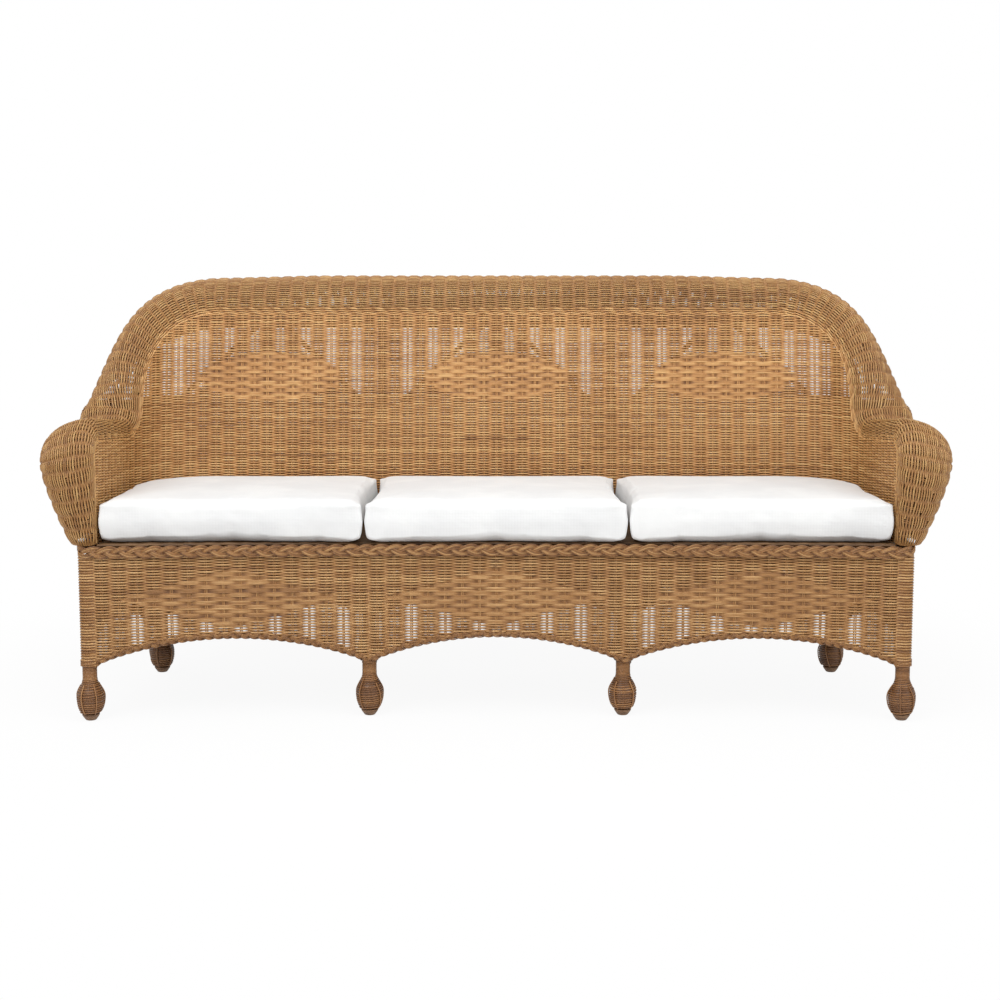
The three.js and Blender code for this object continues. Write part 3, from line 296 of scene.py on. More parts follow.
    def back_edge(self, s: Array) -> Array:
        """Outer edge of the rolled border round the corner and along the back.

        Args:
            s: Stations along the left half of the border.

        Returns:
            Points of the edge.
        """
        corner_y = self.rear(self.trim_line(s)[1]) - self.corner_radius
        reach_y = self.corner_radius + self.roll_depth
        swing = mix(self.wing_lead, QUARTER, np.clip(s - 4, 0, 1))
        reach_x = (self.wall_half + self.wing_reach - self.straight) / math.cos(self.wing_lead)
        z = mix(self.wing_foot - self.wing_drop, self.roll_edge, np.sin(np.clip(s - 4, 0, 1) * QUARTER))
        x = self.straight * np.clip(6 - s, 0, 1) + reach_x * np.cos(swing)
        return np.stack([-x, corner_y + reach_y * np.sin(swing), z], axis=-1)

    def arm_outer(self, z: Array) -> Array:
        """Outer half width of the arm at a height, the pear outline seen from the front."""
        drop = np.maximum(0, (self.arm_widest - z) / (self.arm_widest - self.arm_foot))
        return self.wall_half + mix(self.arm_width, self.arm_base_width, drop**self.arm_taper)

    def outer_edge(self, s: Array) -> Array:
        """Outer edge of the rolled border at each station of the left half.

        Args:
            s: Stations along the left half of the border.

        Returns:
            Points of the edge.
        """
        turn = (s - np.floor(s)) * QUARTER
        edge_y = self.arm_front + self.edge_setback
        shoulder_y = edge_y + self.shoulder_run
        z0 = mix(self.arm_bottom, self.arm_widest - self.edge_drop, s)
        y0 = self.arm_front + mix(self.base_setback, self.edge_setback, s)
        z1 = self.arm_widest - self.edge_drop * (1 - np.sin(turn))
        y1 = mix(edge_y, shoulder_y, 1 - np.cos(turn))
        wing = self.back_edge(np.array([4.0, 4.001]))
        climb = unit(wing[1] - wing[0]) * self.wing_sweep
        arm_x = -self.wall_half - self.arm_width
        arm_end = np.array([arm_x, wing[0][1] - self.wing_sweep, self.arm_widest])
        t = np.clip(s - 3, 0, 1)[..., None]
        rest = 1 - t
        start_run = np.array([0, self.wing_sweep, 0])
        sweep = rest**2 * (1 + 2 * t) * arm_end + rest**2 * t * start_run
        sweep = sweep + t**2 * (3 - 2 * t) * wing[0] - t**2 * rest * climb
        flat = np.broadcast_to(arm_end, sweep.shape)
        along = np.stack([flat[..., 0], mix(shoulder_y, arm_end[1], s - 2), flat[..., 2]], axis=-1)
        front = np.stack([-self.arm_outer(z0), y0, z0], axis=-1)
        shoulder = np.stack([-self.arm_outer(z1), y1, z1], axis=-1)
        tests = [(s <= 1)[..., None], (s < 2)[..., None], (s < 3)[..., None], (s < 4)[..., None]]
        return np.select(tests, [front, shoulder, along, sweep], self.back_edge(s))

    def roll_bulge(self, s: Array) -> Array:
        """How far the rolled border stands out of the line between its two edges.

        Args:
            s: Stations along the left half of the border.

        Returns:
            Heights over the line.
        """
        values = [
            mix(self.arm_base_bulge, self.arm_front_bulge, np.sin(np.clip(s, 0, 1) * QUARTER)),
            mix(self.arm_front_bulge, self.arm_top_bulge, s - 1),
            mix(self.arm_top_bulge, self.arm_rear_bulge, s - 2),
            mix(self.arm_rear_bulge, self.wing_bulge, s - 3),
            mix(self.wing_bulge, self.corner_rise, 1 - np.clip(5 - s, 0, 1) ** self.corner_ease),
        ]
        middle = mix(self.corner_rise, self.roll_rise, np.clip((s - 5) / self.corner_run, 0, 1))
        return np.select([s <= 1, s < 2, s < 3, s < 4, s < 5], values, middle)

    def roll(self, station: Array, share: Array) -> Array:
        """Points of the rolled border.

        Args:
            station: Place along it, 0 to 12, the left half first.
            share: 0 at the trim and 1 at the outer edge.

        Returns:
            One point for each place.
        """
        station, share = floats(station, share)
        mirrored = station > 6
        s = np.where(mirrored, 12 - station, station)
        at, away = self.trim_frame(s)
        middle = (at + self.outer_edge(s)) / 2
        arm = at - middle
        lean = np.clip(np.minimum(s - 1, 4 - s), 0, 1) * self.crest_lean
        fullness = mix(self.arm_fullness, self.back_fullness, smoothstep(s, 3, 4))
        angle = share * math.pi
        across = np.sign(np.cos(angle)) * np.abs(np.cos(angle)) ** fullness
        over = np.sign(np.sin(angle)) * np.abs(np.sin(angle)) ** fullness
        point = middle + arm * across[..., None] + away * (over * self.roll_bulge(s))[..., None]
        point = point + unit(arm) * (lean * over**2)[..., None]
        return point * np.where(mirrored[..., None], [-1, 1, 1], 1)

    def wall_top(self, along: Array, gap: float) -> Array:
        """Top of the woven wall at places along it, a gap short of the trim line.

        Args:
            along: Distances along the wall.
            gap: How far below the line it ends.

        Returns:
            Heights.
        """
        along = np.abs(along)
        edge = self.wing_along - gap
        reach = np.clip((along - self.straight) / (edge - self.straight), 0, 1)
        back = self.wing_foot + (self.trim_top - gap - self.wing_foot) * np.sqrt(1 - reach**2)
        arm_end = self.wing_along + self.wing_radius
        foot = np.clip((arm_end - along) / (self.wing_radius + gap), 0, 1)
        climb = self.wing_rise + gap
        arm = self.trim_arm_rear - gap + climb * (1 - np.sqrt(1 - foot**2))
        arm_start = self.along_arm(self.arm_front + self.trim_front_radius, self.trim_arm_front)
        slope = np.clip((along - arm_end) / (arm_start - arm_end), 0, 1)
        radius = self.trim_front_radius - gap
        beyond = np.clip((along - arm_start) / radius, 0, 1)
        arm = arm + slope * (self.trim_arm_front - self.trim_arm_rear)
        arm = arm - radius * (1 - np.sqrt(1 - beyond**2))
        return np.where(along < edge, back, arm)

    def outer_panel(self, run: Array, z: Array) -> Array:
        """Points of the left arm's outer panel: round its rear corner to the corner post.

        Args:
            run: Distance from the front edge.
            z: Height.

        Returns:
            One point for each place.
        """
        run, z = floats(run, z)
        x = self.arm_outer(z)
        post = self.wall(self.corner_middle, z, POST_DEPTH)
        radius = self.arm_rear_radius
        height = self.arm_widest - self.edge_drop - self.arm_bottom
        rise = np.clip((z - self.arm_bottom) / height, 0, 1)
        start = self.arm_front + mix(self.base_setback, self.edge_setback, rise) + self.panel_inset
        side = post[..., 1] - radius - start
        turn = np.clip((run - side) / radius, 0, QUARTER)
        tail = np.maximum(0, run - side - radius * QUARTER)
        px = x - radius * (1 - np.cos(turn)) - tail
        py = start + np.minimum(run, side) + radius * np.sin(turn)
        return np.stack([-px, py, z], axis=-1)


@dataclass(frozen=True)
class BaseForm:
    """The skirt, the deck braid and the seat frame below the shell."""

    half: float = 0.9625
    front_y: float = -0.425 + DEPTH_SHIFT
    hollow: float = 0.045
    rear_y: float = 0.173 + DEPTH_SHIFT
    corner_radius: float = 0.220
    bottom: float = 0.127
    arch_rise: float = 0.063
    arch_fullness: float = 0.75
    border: float = 0.019
    skirt_top: float = 0.3845
    inner_leg: float = 0.301
    rear_inner_leg: float = 0.340
    outer_leg: float = 0.9535
    outer_setback: float = 0.012
    leg_clear: float = 0.0154
    rail_inset: float = 0.0189
    rail_height: float = 0.394
    braid_top: float = 0.4155
    braid_height: float = 0.031
    braid_out: float = 0.0053
    braid_corner: float = 0.024
    braid_tail: float = 0.040

    @property
    def straight(self) -> float:
        """Half length of the straight rear."""
        return self.half - self.corner_radius

    @property
    def corner_y(self) -> float:
        """Depth at which the rear corners begin."""
        return self.rear_y - self.corner_radius

    @property
    def side_front(self) -> float:
        """Front end of the side skirts."""
        return float(self.front_line(self.outer_leg, self.outer_setback)) + self.leg_clear

    @property
    def front_end(self) -> float:
        """Half length of the front skirt, between the outer legs."""
        return self.outer_leg - self.leg_clear

    @property
    def front_edges(self) -> tuple[float, ...]:
        """Ends of the front skirt's bays."""
        return (-self.front_end, -self.inner_leg, self.inner_leg, self.front_end)

    @property
    def rear_edges(self) -> tuple[float, ...]:
        """Ends of the rear skirt's bays, by distance from its middle."""
        return (-self.rear_half, -self.rear_inner_leg, self.rear_inner_leg, self.rear_half)

    def front_line(self, x: Array, inset: float = 0.0) -> Array:
        """Front line of the base, slightly hollow in the middle."""
        return self.front_y + self.hollow * (1 - (np.asarray(x) / self.half) ** 2) + inset

    def side_line(self, run: Array, inset: float = 0.0) -> Array:
        """Plan points of the left side and rear corner by distance from the front, then the rear.

        Args:
            run: Distances along the line.
            inset: How far inside the outer face.

        Returns:
            Plan points.
        """
        run = np.asarray(run, float)
        side = self.corner_y - self.side_front
        turn = np.clip((run - side) / self.corner_radius, 0, QUARTER)
        tail = np.maximum(0, run - side - self.corner_radius * QUARTER)
        reach = self.corner_radius - inset
        x = -self.straight - reach * np.cos(turn) + tail
        y = np.minimum(self.side_front + run, self.corner_y) + reach * np.sin(turn)
        return np.stack([x, y], axis=-1)

    @property
    def side_end(self) -> float:
        """Length of a side skirt, to the middle of its rear corner."""
        return self.corner_y - self.side_front + self.corner_radius * QUARTER / 2

    @property
    def rear_half(self) -> float:
        """Half length of the rear skirt."""
        return self.straight + self.corner_radius * QUARTER / 2

    @property
    def half_round(self) -> float:
        """Length of the side line from the front to the middle of the rear."""
        return self.corner_y - self.side_front + self.corner_radius * QUARTER + self.straight

    def arch(self, at: Array, low: float, high: float) -> Array:
        """Lower edge of a skirt bay between two legs."""
        t = np.clip((at - low) / (high - low), 0, 1)
        return self.bottom + self.arch_rise * np.sin(math.pi * t) ** self.arch_fullness

    def bays(self, at: Array, edges: Sequence[float]) -> Array:
        """Lower edge of a row of skirt bays.

        Args:
            at: Places along the skirt.
            edges: Where bays begin and end.

        Returns:
            Heights.
        """
        at = np.asarray(at, float)
        heights = [self.arch(at, low, high) for low, high in zip(edges, edges[1:])]
        tests = [at < high for high in edges[1:]]
        return np.select(tests, heights, self.bottom)

    def front_arch(self, x: Array) -> Array:
        """Lower edge of the front skirt."""
        return self.bays(x, self.front_edges)

    def rear_arch(self, x: Array) -> Array:
        """Lower edge of the rear skirt, by distance from its middle."""
        return self.bays(x, self.rear_edges)

    def side_arch(self, run: Array) -> Array:
        """Lower edge of a side skirt, by distance from the front."""
        return self.bays(run, (0.0, self.side_end))

    def front(self, x: Array, z: Array) -> Array:
        """Points of the front skirt."""
        x, z = floats(x, z)
        return np.stack([x, self.front_line(x), z], axis=-1)

    def side(self, run: Array, z: Array) -> Array:
        """Points of the left skirt."""
        run, z = floats(run, z)
        return np.concatenate([self.side_line(run), z[..., None]], axis=-1)

    def rear(self, x: Array, z: Array) -> Array:
        """Points of the rear skirt by distance from its middle.

        Args:
            x: Distances from the middle, round the corners.
            z: Heights.

        Returns:
            Points of the skirt.
        """
        x, z = floats(x, z)
        plan = self.side_line(self.half_round - np.abs(x))
        side = np.where(x < 0, 1.0, -1.0)
        return np.stack([plan[..., 0] * side, plan[..., 1], z], axis=-1)


SEAT = SeatForm()
BASE = BaseForm()
# The skirts stop this far short of the rear corners' middles.
SEAM = 0.001
FRONT_SPAN = (-BASE.front_end, BASE.front_end)
REAR_SPAN = (SEAM - BASE.rear_half, BASE.rear_half - SEAM)
SIDE_SPAN = (0.0, BASE.side_end - SEAM)


class Shed(IntEnum):
    """How the wefts of a place pass its stakes."""

    PLAIN = 0
    BASKET = 1


@dataclass
class Strands:
    """Lines that a section is swept along, with a tone, a girth and a relief (painted shade and light) for
    each point.
    """

    lines: list[Array] = field(default_factory=list)
    tones: list[Array] = field(default_factory=list)
    girths: list[Array] = field(default_factory=list)
    painted_shading: list[Array] = field(default_factory=list)

    def add(self, line: Array, tone: Any, girth: Any = 1.0, relief: Any = 0.0) -> None:
        """Adds one strand.

        Args:
            line: Its points.
            tone: Shade from 0, dark, to 1, light, for the strand or for each point.
            girth: Thickness against the sweep's own, for the strand or for each point.
            relief: Painted shade and light, from -1 in a hollow, painted darker, to 1 on a crown, painted
                lighter.
        """
        if len(line) < 2:
            return
        self.lines.append(np.asarray(line, float))
        self.tones.append(np.broadcast_to(tone, len(line)).astype(float))
        self.girths.append(np.broadcast_to(girth, len(line)).astype(float))
        self.painted_shading.append(np.broadcast_to(relief, len(line)).astype(float))

    def extend(self, other: "Strands") -> None:
        """Adds the strands of another set.

        Args:
            other: The set that is added.
        """
        self.lines += other.lines
        self.tones += other.tones
        self.girths += other.girths
        self.painted_shading += other.painted_shading

    def mirrored(self) -> "Strands":
        """The same strands on the other side of the sofa."""
        lines = [line * MIRROR for line in self.lines]
        return Strands(lines, list(self.tones), list(self.girths), list(self.painted_shading))

    def mesh(self, name: str) -> Mesh:
        """Line mesh of the strands; tone, girth, relief (painted shade and light) and distance along are
        its attributes.

        Args:
            name: The mesh's name.

        Returns:
            The mesh.
        """
        counts = np.array([len(line) for line in self.lines])
        points = np.concatenate(self.lines)
        firsts = np.cumsum(counts) - counts
        here = np.arange(len(points))
        last = np.zeros(len(points), bool)
        last[firsts + counts - 1] = True
        starts = here[~last]
        mesh = bpy.data.meshes.new(name)
        mesh.vertices.add(len(points))
        mesh.vertices.foreach_set("co", points.astype(np.float32).ravel())
        mesh.edges.add(len(starts))
        ends = np.stack([starts, starts + 1], 1)
        mesh.edges.foreach_set("vertices", ends.astype(np.int32).ravel())
        runs = [distances(line) for line in self.lines]
        # relief carries painted shade and light, which the reed finishes turn into colour.
        values = {"tone": self.tones, "girth": self.girths, "relief": self.painted_shading, "along": runs}
        for key, parts in values.items():
            attribute = mesh.attributes.new(key, "FLOAT", "POINT")
            attribute.data.foreach_set("value", np.concatenate(parts).astype(np.float32))
        mesh.update()
        return mesh


class ReedSweep:
    """Geometry Nodes tree that sweeps a round section along every strand of a line mesh."""

    def __init__(self) -> None:
        """Builds the tree."""
        self.tree = bpy.data.node_groups.new("reed_sweep", "GeometryNodeTree")
        for name, way, kind in (
            ("Strands", "INPUT", "Geometry"),
            ("Reed Radius", "INPUT", "Float"),
            ("Reed Sides", "INPUT", "Int"),
            ("Reed Finish", "INPUT", "Material"),
            ("Reeds", "OUTPUT", "Geometry"),
        ):
            self.tree.interface.new_socket(name, in_out=way, socket_type=f"NodeSocket{kind}")
        source = self._node("NodeGroupInput")
        curve = self._node("GeometryNodeMeshToCurve")
        girth = self._node("GeometryNodeInputNamedAttribute", data_type="FLOAT")
        girth.inputs["Name"].default_value = "girth"
        radius = self._node("GeometryNodeSetCurveRadius")
        ring = self._node("GeometryNodeCurvePrimitiveCircle", mode="RADIUS")
        sweep = self._node("GeometryNodeCurveToMesh")
        sweep.inputs["Fill Caps"].default_value = True
        smooth = self._node("GeometryNodeSetShadeSmooth")
        real = self._node("GeometryNodeRealizeInstances")
        finish = self._node("GeometryNodeSetMaterial")
        sink = self._node("NodeGroupOutput")
        for start, out, end, into in (
            (source, "Strands", curve, "Mesh"),
            (curve, "Curve", radius, "Curve"),
            (girth, "Attribute", radius, "Radius"),
            (source, "Reed Sides", ring, "Resolution"),
            (source, "Reed Radius", ring, "Radius"),
            (radius, "Curve", sweep, "Curve"),
            (ring, "Curve", sweep, "Profile Curve"),
            (sweep, "Mesh", smooth, "Geometry"),
            (smooth, "Geometry", real, "Geometry"),
            (real, "Geometry", finish, "Geometry"),
            (source, "Reed Finish", finish, "Material"),
            (finish, "Geometry", sink, "Reeds"),
        ):
            self.tree.links.new(start.outputs[out], end.inputs[into])

    def _node(self, kind: str, **settings: Any) -> bpy.types.Node:
        """Adds one node with its settings.

        Args:
            kind: The node's type.
            settings: Its settings by name.

        Returns:
            The node.
        """
        node = self.tree.nodes.new(kind)
        for name, value in settings.items():
            setattr(node, name, value)
        return node

    def make(
        self, name: str, strands: Strands, radius: float, sides: int, finish: Material
    ) -> Object:
        """Sweeps a set of strands into one plain mesh object.

        Args:
            name: The object's name.
            strands: Lines to sweep along.
            radius: Radius of the section where the girth is 1.
            sides: Sides of the section.
            finish: The reeds' material.

        Returns:
            The new object, at the origin.
        """
        lines = bpy.data.objects.new(f"{name}_lines", strands.mesh(f"{name}_lines"))
        bpy.context.scene.collection.objects.link(lines)
        sweep = lines.modifiers.new("sweep", "NODES")
        sweep.node_group = self.tree
        values = {"Reed Radius": radius, "Reed Sides": sides, "Reed Finish": finish}
        for item in self.tree.interface.items_tree:
            if item.in_out == "INPUT" and item.name in values:
                sweep[item.identifier] = values[item.name]
        bpy.context.view_layer.update()
        graph = bpy.context.evaluated_depsgraph_get()
        mesh = bpy.data.meshes.new_from_object(lines.evaluated_get(graph), depsgraph=graph)
        mesh.name = name
        line_mesh = lines.data
        lines.modifiers.clear()
        bpy.data.objects.remove(lines)
        bpy.data.meshes.remove(line_mesh)
        for key in ("girth", "radius"):
            if key in mesh.attributes:
                mesh.attributes.remove(mesh.attributes[key])
        return place(name, mesh)


def place(name: str, mesh: Mesh) -> Object:
    """Puts a mesh into the scene as an object at the origin.

    Args:
        name: The object's name.
        mesh: Its mesh.

    Returns:
        The object.
    """
    piece = bpy.data.objects.new(name, mesh)
    bpy.context.scene.collection.objects.link(piece)
    return piece


def settle(piece: Object, body: str, nodes: Sequence[str]) -> None:
    """Rides a finished piece on its body, in place of its nodes.

    Args:
        piece: The object.
        body: The body that it moves with.
        nodes: The solids that it stands for.
    """
    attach(piece, body)
    if nodes:
        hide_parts(*nodes)
    LOG.info("%s: %d faces on %s", piece.name, len(piece.data.polygons), body)


# Shader maths.


class Sock:
    """A shader socket that takes part in expressions on values."""

    def __init__(self, shader: "Shader", socket: bpy.types.NodeSocket) -> None:
        """Wraps one output socket."""
        self.shader = shader
        self.socket = socket

    def _math(self, operation: str, first: Any, second: Any = None) -> "Sock":
        """Adds a Math node."""
        values = [first] if second is None else [first, second]
        return self.shader.node("ShaderNodeMath", {"operation": operation}, dict(enumerate(values)))

    def __add__(self, other: Any) -> "Sock":
        """Sum."""
        return self._math("ADD", self, other)

    __radd__ = __add__

    def __sub__(self, other: Any) -> "Sock":
        """Difference."""
        return self._math("SUBTRACT", self, other)

    def __rsub__(self, other: Any) -> "Sock":
        """Difference from a number."""
        return self._math("SUBTRACT", other, self)

    def __mul__(self, other: Any) -> "Sock":
        """Product."""
        return self._math("MULTIPLY", self, other)

    __rmul__ = __mul__

    def __pow__(self, other: Any) -> "Sock":
        """Power."""
        return self._math("POWER", self, other)

    def rise(self, low: float, high: float) -> "Sock":
        """Smooth 0 to 1 while the value goes from low to high."""
        inputs = {"Value": self, "From Min": low, "From Max": high}
        return self.shader.node("ShaderNodeMapRange", {"interpolation_type": "SMOOTHSTEP"}, inputs)


class Shader:
    """Node tree of one material, built by expressions."""

    def __init__(self, name: str) -> None:
        """Starts a material with only an output.

        Args:
            name: The material's name.
        """
        self.material = bpy.data.materials.new(name)
        self.material.use_nodes = True
        self.tree = self.material.node_tree
        self.tree.nodes.clear()
        self.sink = self.tree.nodes.new("ShaderNodeOutputMaterial")

    def node(self, kind: str, settings: dict[str, Any], inputs: dict[Any, Any], output: Any = 0) -> Sock:
        """Adds any node.

        Args:
            kind: The node's type.
            settings: Its properties; "stops" holds a ramp's positions and colours.
            inputs: Values or sockets for its inputs, by name or number.
            output: Name or number of the output that is used.

        Returns:
            That output.
        """
        node = self.tree.nodes.new(kind)
        for name, value in settings.items():
            if name == "stops":
                ramp = node.color_ramp
                while len(ramp.elements) < len(value):
                    ramp.elements.new(1.0)
                for element, (position, colour) in zip(ramp.elements, value):
                    element.position = position
                    element.color = (*colour, 1.0)
            else:
                setattr(node, name, value)
        for key, value in inputs.items():
            if isinstance(value, Sock):
                self.tree.links.new(value.socket, node.inputs[key])
            else:
                node.inputs[key].default_value = value
        return Sock(self, node.outputs[output])

    def attribute(self, name: str) -> Sock:
        """A number stored on the mesh."""
        return self.node("ShaderNodeAttribute", {"attribute_name": name}, {}, "Fac")

    def place(self) -> Sock:
        """Object coordinates."""
        return self.node("ShaderNodeTexCoord", {}, {}, "Object")

    def noise(self, vector: Sock, scale: float, detail: float = 2.0) -> Sock:
        """Noise around 0.5."""
        return self.node("ShaderNodeTexNoise", {}, {"Vector": vector, "Scale": scale, "Detail": detail})

    def blend(self, share: Any, first: Any, second: Any) -> Sock:
        """Mixes two colours."""
        first, second = [(*c, 1.0) if isinstance(c, tuple) else c for c in (first, second)]
        return self.node("ShaderNodeMix", {"data_type": "RGBA"}, {0: share, 6: first, 7: second}, 2)

    def stretch(self, vector: Sock, scale: Place) -> Sock:
        """Scales coordinates."""
        return self.node("ShaderNodeMapping", {}, {"Vector": vector, "Scale": scale})

    def surface(self, colour: Any, roughness: Any, bump: Sock, depth: float, **fixed: Any) -> None:
        """Ends the tree in a Principled surface.

        Args:
            colour: Base colour.
            roughness: Roughness.
            bump: Height that the bump follows.
            depth: The bump's depth in metres.
            fixed: Constants for other sockets, with underscores for spaces.
        """
        relief = self.node("ShaderNodeBump", {}, {"Height": bump, "Distance": depth, "Strength": 1.0})
        inputs: dict[Any, Any] = {"Base Color": colour, "Roughness": roughness, "Normal": relief}
        inputs.update({key.replace("_", " "): value for key, value in fixed.items()})
        shell = self.node("ShaderNodeBsdfPrincipled", {}, inputs)
        self.tree.links.new(shell.socket, self.sink.inputs["Surface"])


COAT_ROUGHNESS = 0.3


class Finish:
    """A procedural material; each kind paints its own shader."""

    name: str

    def paint(self, shader: Shader, place: Sock) -> None:
        """Ends the shader in a surface, by object coordinates."""
        raise NotImplementedError

    def material(self) -> Material:
        """Builds the material.

        Returns:
            The material.
        """
        shader = Shader(self.name)
        self.paint(shader, shader.place())
        return shader.material


@dataclass(frozen=True)
class ReedFinish(Finish):
    """Rattan reed: each strand has its own tone, with long streaks, mottling and dark flecks, and painted
    shade in the weave's hollows with painted light on its crowns.
    """

    name: str
    dark: Colour = (0.160, 0.064, 0.018)
    middle: Colour = (0.400, 0.195, 0.066)
    light: Colour = (0.640, 0.390, 0.165)
    fleck: Colour = (0.085, 0.035, 0.012)
    roughness: float = 0.46
    coat: float = 0.12
    # Strength of the painted shade in hollows and the painted light on crowns, from the relief attribute.
    hollow: float = 0.60
    patchy: float = 0.35
    mottled: float = 0.30
    streaky: float = 0.50
    flecked: float = 0.55
    bump: float = 0.0004

    def paint(self, shader: Shader, place: Sock) -> None:
        """Paints the finish.

        Args:
            shader: The material being built.
            place: Object coordinates.
        """
        tone = shader.attribute("tone")
        along = shader.attribute("along")
        patch = shader.noise(place, 5.0)
        mottle = shader.noise(place, 90.0, 3.0)
        streak_at = shader.node("ShaderNodeCombineXYZ", {}, {0: along * 18.0, 1: tone * 91.0, 2: 0.0})
        streak = shader.noise(streak_at, 1.0, 3.0)
        # Painted shade: hollows of the weave darker and crowns lighter, by the relief attribute.
        relief = shader.attribute("relief") * self.hollow
        shade = tone + relief + (patch - 0.5) * self.patchy + (mottle - 0.5) * self.mottled
        shade = shade + (streak - 0.5) * self.streaky
        stops = [(0.0, self.dark), (0.5, self.middle), (1.0, self.light)]
        colour = shader.node("ShaderNodeValToRGB", {"stops": stops}, {"Fac": shade})
        spots = shader.noise(streak_at, 2.3, 1.0).rise(0.70, 0.80)
        colour = shader.blend(spots * self.flecked, colour, self.fleck)
        roughness = (mottle - 0.5) * self.mottled + self.roughness
        coat = {"Coat_Weight": self.coat, "Coat_Roughness": COAT_ROUGHNESS}
        shader.surface(colour, roughness, mottle + streak * 0.5, self.bump, **coat)


@dataclass(frozen=True)
class PoleFinish(Finish):
    """Peeled rattan pole: fine grain, darker joints and a satin skin."""

    name: str = "rattan_pole"
    dark: Colour = (0.150, 0.062, 0.020)
    light: Colour = (0.430, 0.225, 0.085)
    roughness: float = 0.42
    coat: float = 0.10
    bump: float = 0.0003

    def paint(self, shader: Shader, place: Sock) -> None:
        """Paints the finish.

        Args:
            shader: The material being built.
            place: Object coordinates.
        """
        tone = shader.attribute("tone")
        grain = shader.noise(place, 140.0, 4.0)
        patch = shader.noise(place, 7.0)
        shade = tone + (grain - 0.5) * 0.5 + (patch - 0.5) * 0.6
        colour = shader.blend(shade.rise(0.0, 1.0), self.dark, self.light)
        roughness = (grain - 0.5) * 0.25 + self.roughness
        coat = {"Coat_Weight": self.coat, "Coat_Roughness": COAT_ROUGHNESS}
        shader.surface(colour, roughness, grain, self.bump, **coat)


@dataclass(frozen=True)
class DiscFinish(Finish):
    """Turned wooden foot disc with fine rings and dulled edges."""

    name: str = "foot_disc_wood"
    dark: Colour = (0.105, 0.050, 0.022)
    light: Colour = (0.290, 0.160, 0.080)
    roughness: float = 0.55
    bump: float = 0.0003

    def paint(self, shader: Shader, place: Sock) -> None:
        """Paints the finish.

        Args:
            shader: The material being built.
            place: Object coordinates.
        """
        grain = shader.noise(shader.stretch(place, (60.0, 60.0, 400.0)), 1.0, 4.0)
        wear = shader.noise(place, 120.0, 2.0)
        colour = shader.blend(grain.rise(0.25, 0.8), self.dark, self.light)
        shader.surface(colour, (wear - 0.5) * 0.3 + self.roughness, grain, self.bump)


@dataclass(frozen=True)
class FabricFinish(Finish):
    """White woven cotton with a fine thread, soft shading in the cloth and faint creases."""

    name: str = "cushion_cotton"
    colour: Colour = (0.800, 0.805, 0.800)
    shade: Colour = (0.740, 0.745, 0.745)
    thread: float = 0.0011
    roughness: float = 0.88
    bump: float = 0.0016

    def paint(self, shader: Shader, place: Sock) -> None:
        """Paints the finish.

        Args:
            shader: The material being built.
            place: Object coordinates.
        """
        inputs = {"Vector": place, "Scale": 1.0 / self.thread / 20}
        waves = []
        for direction in ("X", "Y", "Z"):
            settings = {"wave_type": "BANDS", "bands_direction": direction}
            waves.append(shader.node("ShaderNodeTexWave", settings, inputs, "Fac"))
        weave = (waves[0] + waves[1] + waves[2]) * 0.33
        cloud = shader.noise(place, 9.0, 3.0)
        crease = shader.noise(shader.stretch(place, (1.0, 2.4, 2.0)), 14.0, 3.0)
        colour = shader.blend(cloud.rise(0.35, 0.7), self.shade, self.colour)
        sheen = {"Sheen_Weight": 0.25, "Sheen_Roughness": 0.5}
        shader.surface(colour, self.roughness, weave * 0.12 + crease, self.bump, **sheen)


@dataclass(frozen=True)
class FloorFinish(Finish):
    """Pale studio floor: white to the camera, with a shadow kept round the object."""

    name: str = "studio_floor"
    lift: float = 0.93
    fade: tuple[float, float] = (0.9, 1.9)

    def paint(self, shader: Shader, place: Sock) -> None:
        """Paints the finish.

        Args:
            shader: The material being built.
            place: Object coordinates.
        """
        path = shader.node("ShaderNodeLightPath", {}, {}, "Is Camera Ray")
        glossy = shader.node("ShaderNodeLightPath", {}, {}, "Is Glossy Ray")
        plain = shader.node("ShaderNodeBsdfDiffuse", {}, {"Color": (0.85, 0.85, 0.85, 1.0)})
        white = shader.node("ShaderNodeEmission", {}, {"Color": (1.0, 1.0, 1.0, 1.0), "Strength": 1.0})
        away = shader.node("ShaderNodeVectorMath", {"operation": "LENGTH"}, {0: place}, "Value")
        share = away.rise(*self.fade) * (1 - self.lift) + self.lift
        both = shader.node("ShaderNodeMixShader", {}, {0: (path + glossy) * share, 1: plain, 2: white})
        shader.tree.links.new(both.socket, shader.sink.inputs["Surface"])


# Weaving.


GOLDEN = 0.6180339887
REED = 0.0021
ROW = 0.00325
STAKE = 0.0016
# A crown gets painted light of this share of the painted shade in a hollow.
CROWN_PAINTED_LIGHT = 0.25


class Seed(IntEnum):
    """Seeds of chance; a family of pieces counts on from its own."""

    WALL = 11
    BORDER = 31
    PANEL = 41
    FRONT_SKIRT = 51
    REAR_SKIRT = 52
    SIDE_SKIRT = 53
    CORNER = 54
    DECK_BRAID = 61
    FRONT_PLAIT = 62
    REAR_PLAIT = 63
    SIDE_PLAIT = 64
    WALE = 72
    RAIL = 81
    POST = 91
    BRACE = 101
    DECK = 121
    FOOT = 201


@dataclass
class Course:
    """One weft: its places on a surface, with the lift off it, the tone and the girth at each."""

    u: Array
    v: Array
    lift: Array
    tone: Array
    girth: Array

    def part(self, low: float, high: float) -> "Course | None":
        """The stretch of the weft between two places, cut exactly there.

        Args:
            low: Where the stretch begins.
            high: Where it ends.

        Returns:
            The stretch, or None where nothing of the weft is there.
        """
        start, end = max(low, self.u[0]), min(high, self.u[-1])
        if end - start < 1e-6:
            return None
        within = self.u[(self.u > start + 1e-6) & (self.u < end - 1e-6)]
        at = np.concatenate([[start], within, [end]])
        values = (self.v, self.lift, self.tone, self.girth)
        return Course(at, *(np.interp(at, self.u, value) for value in values))


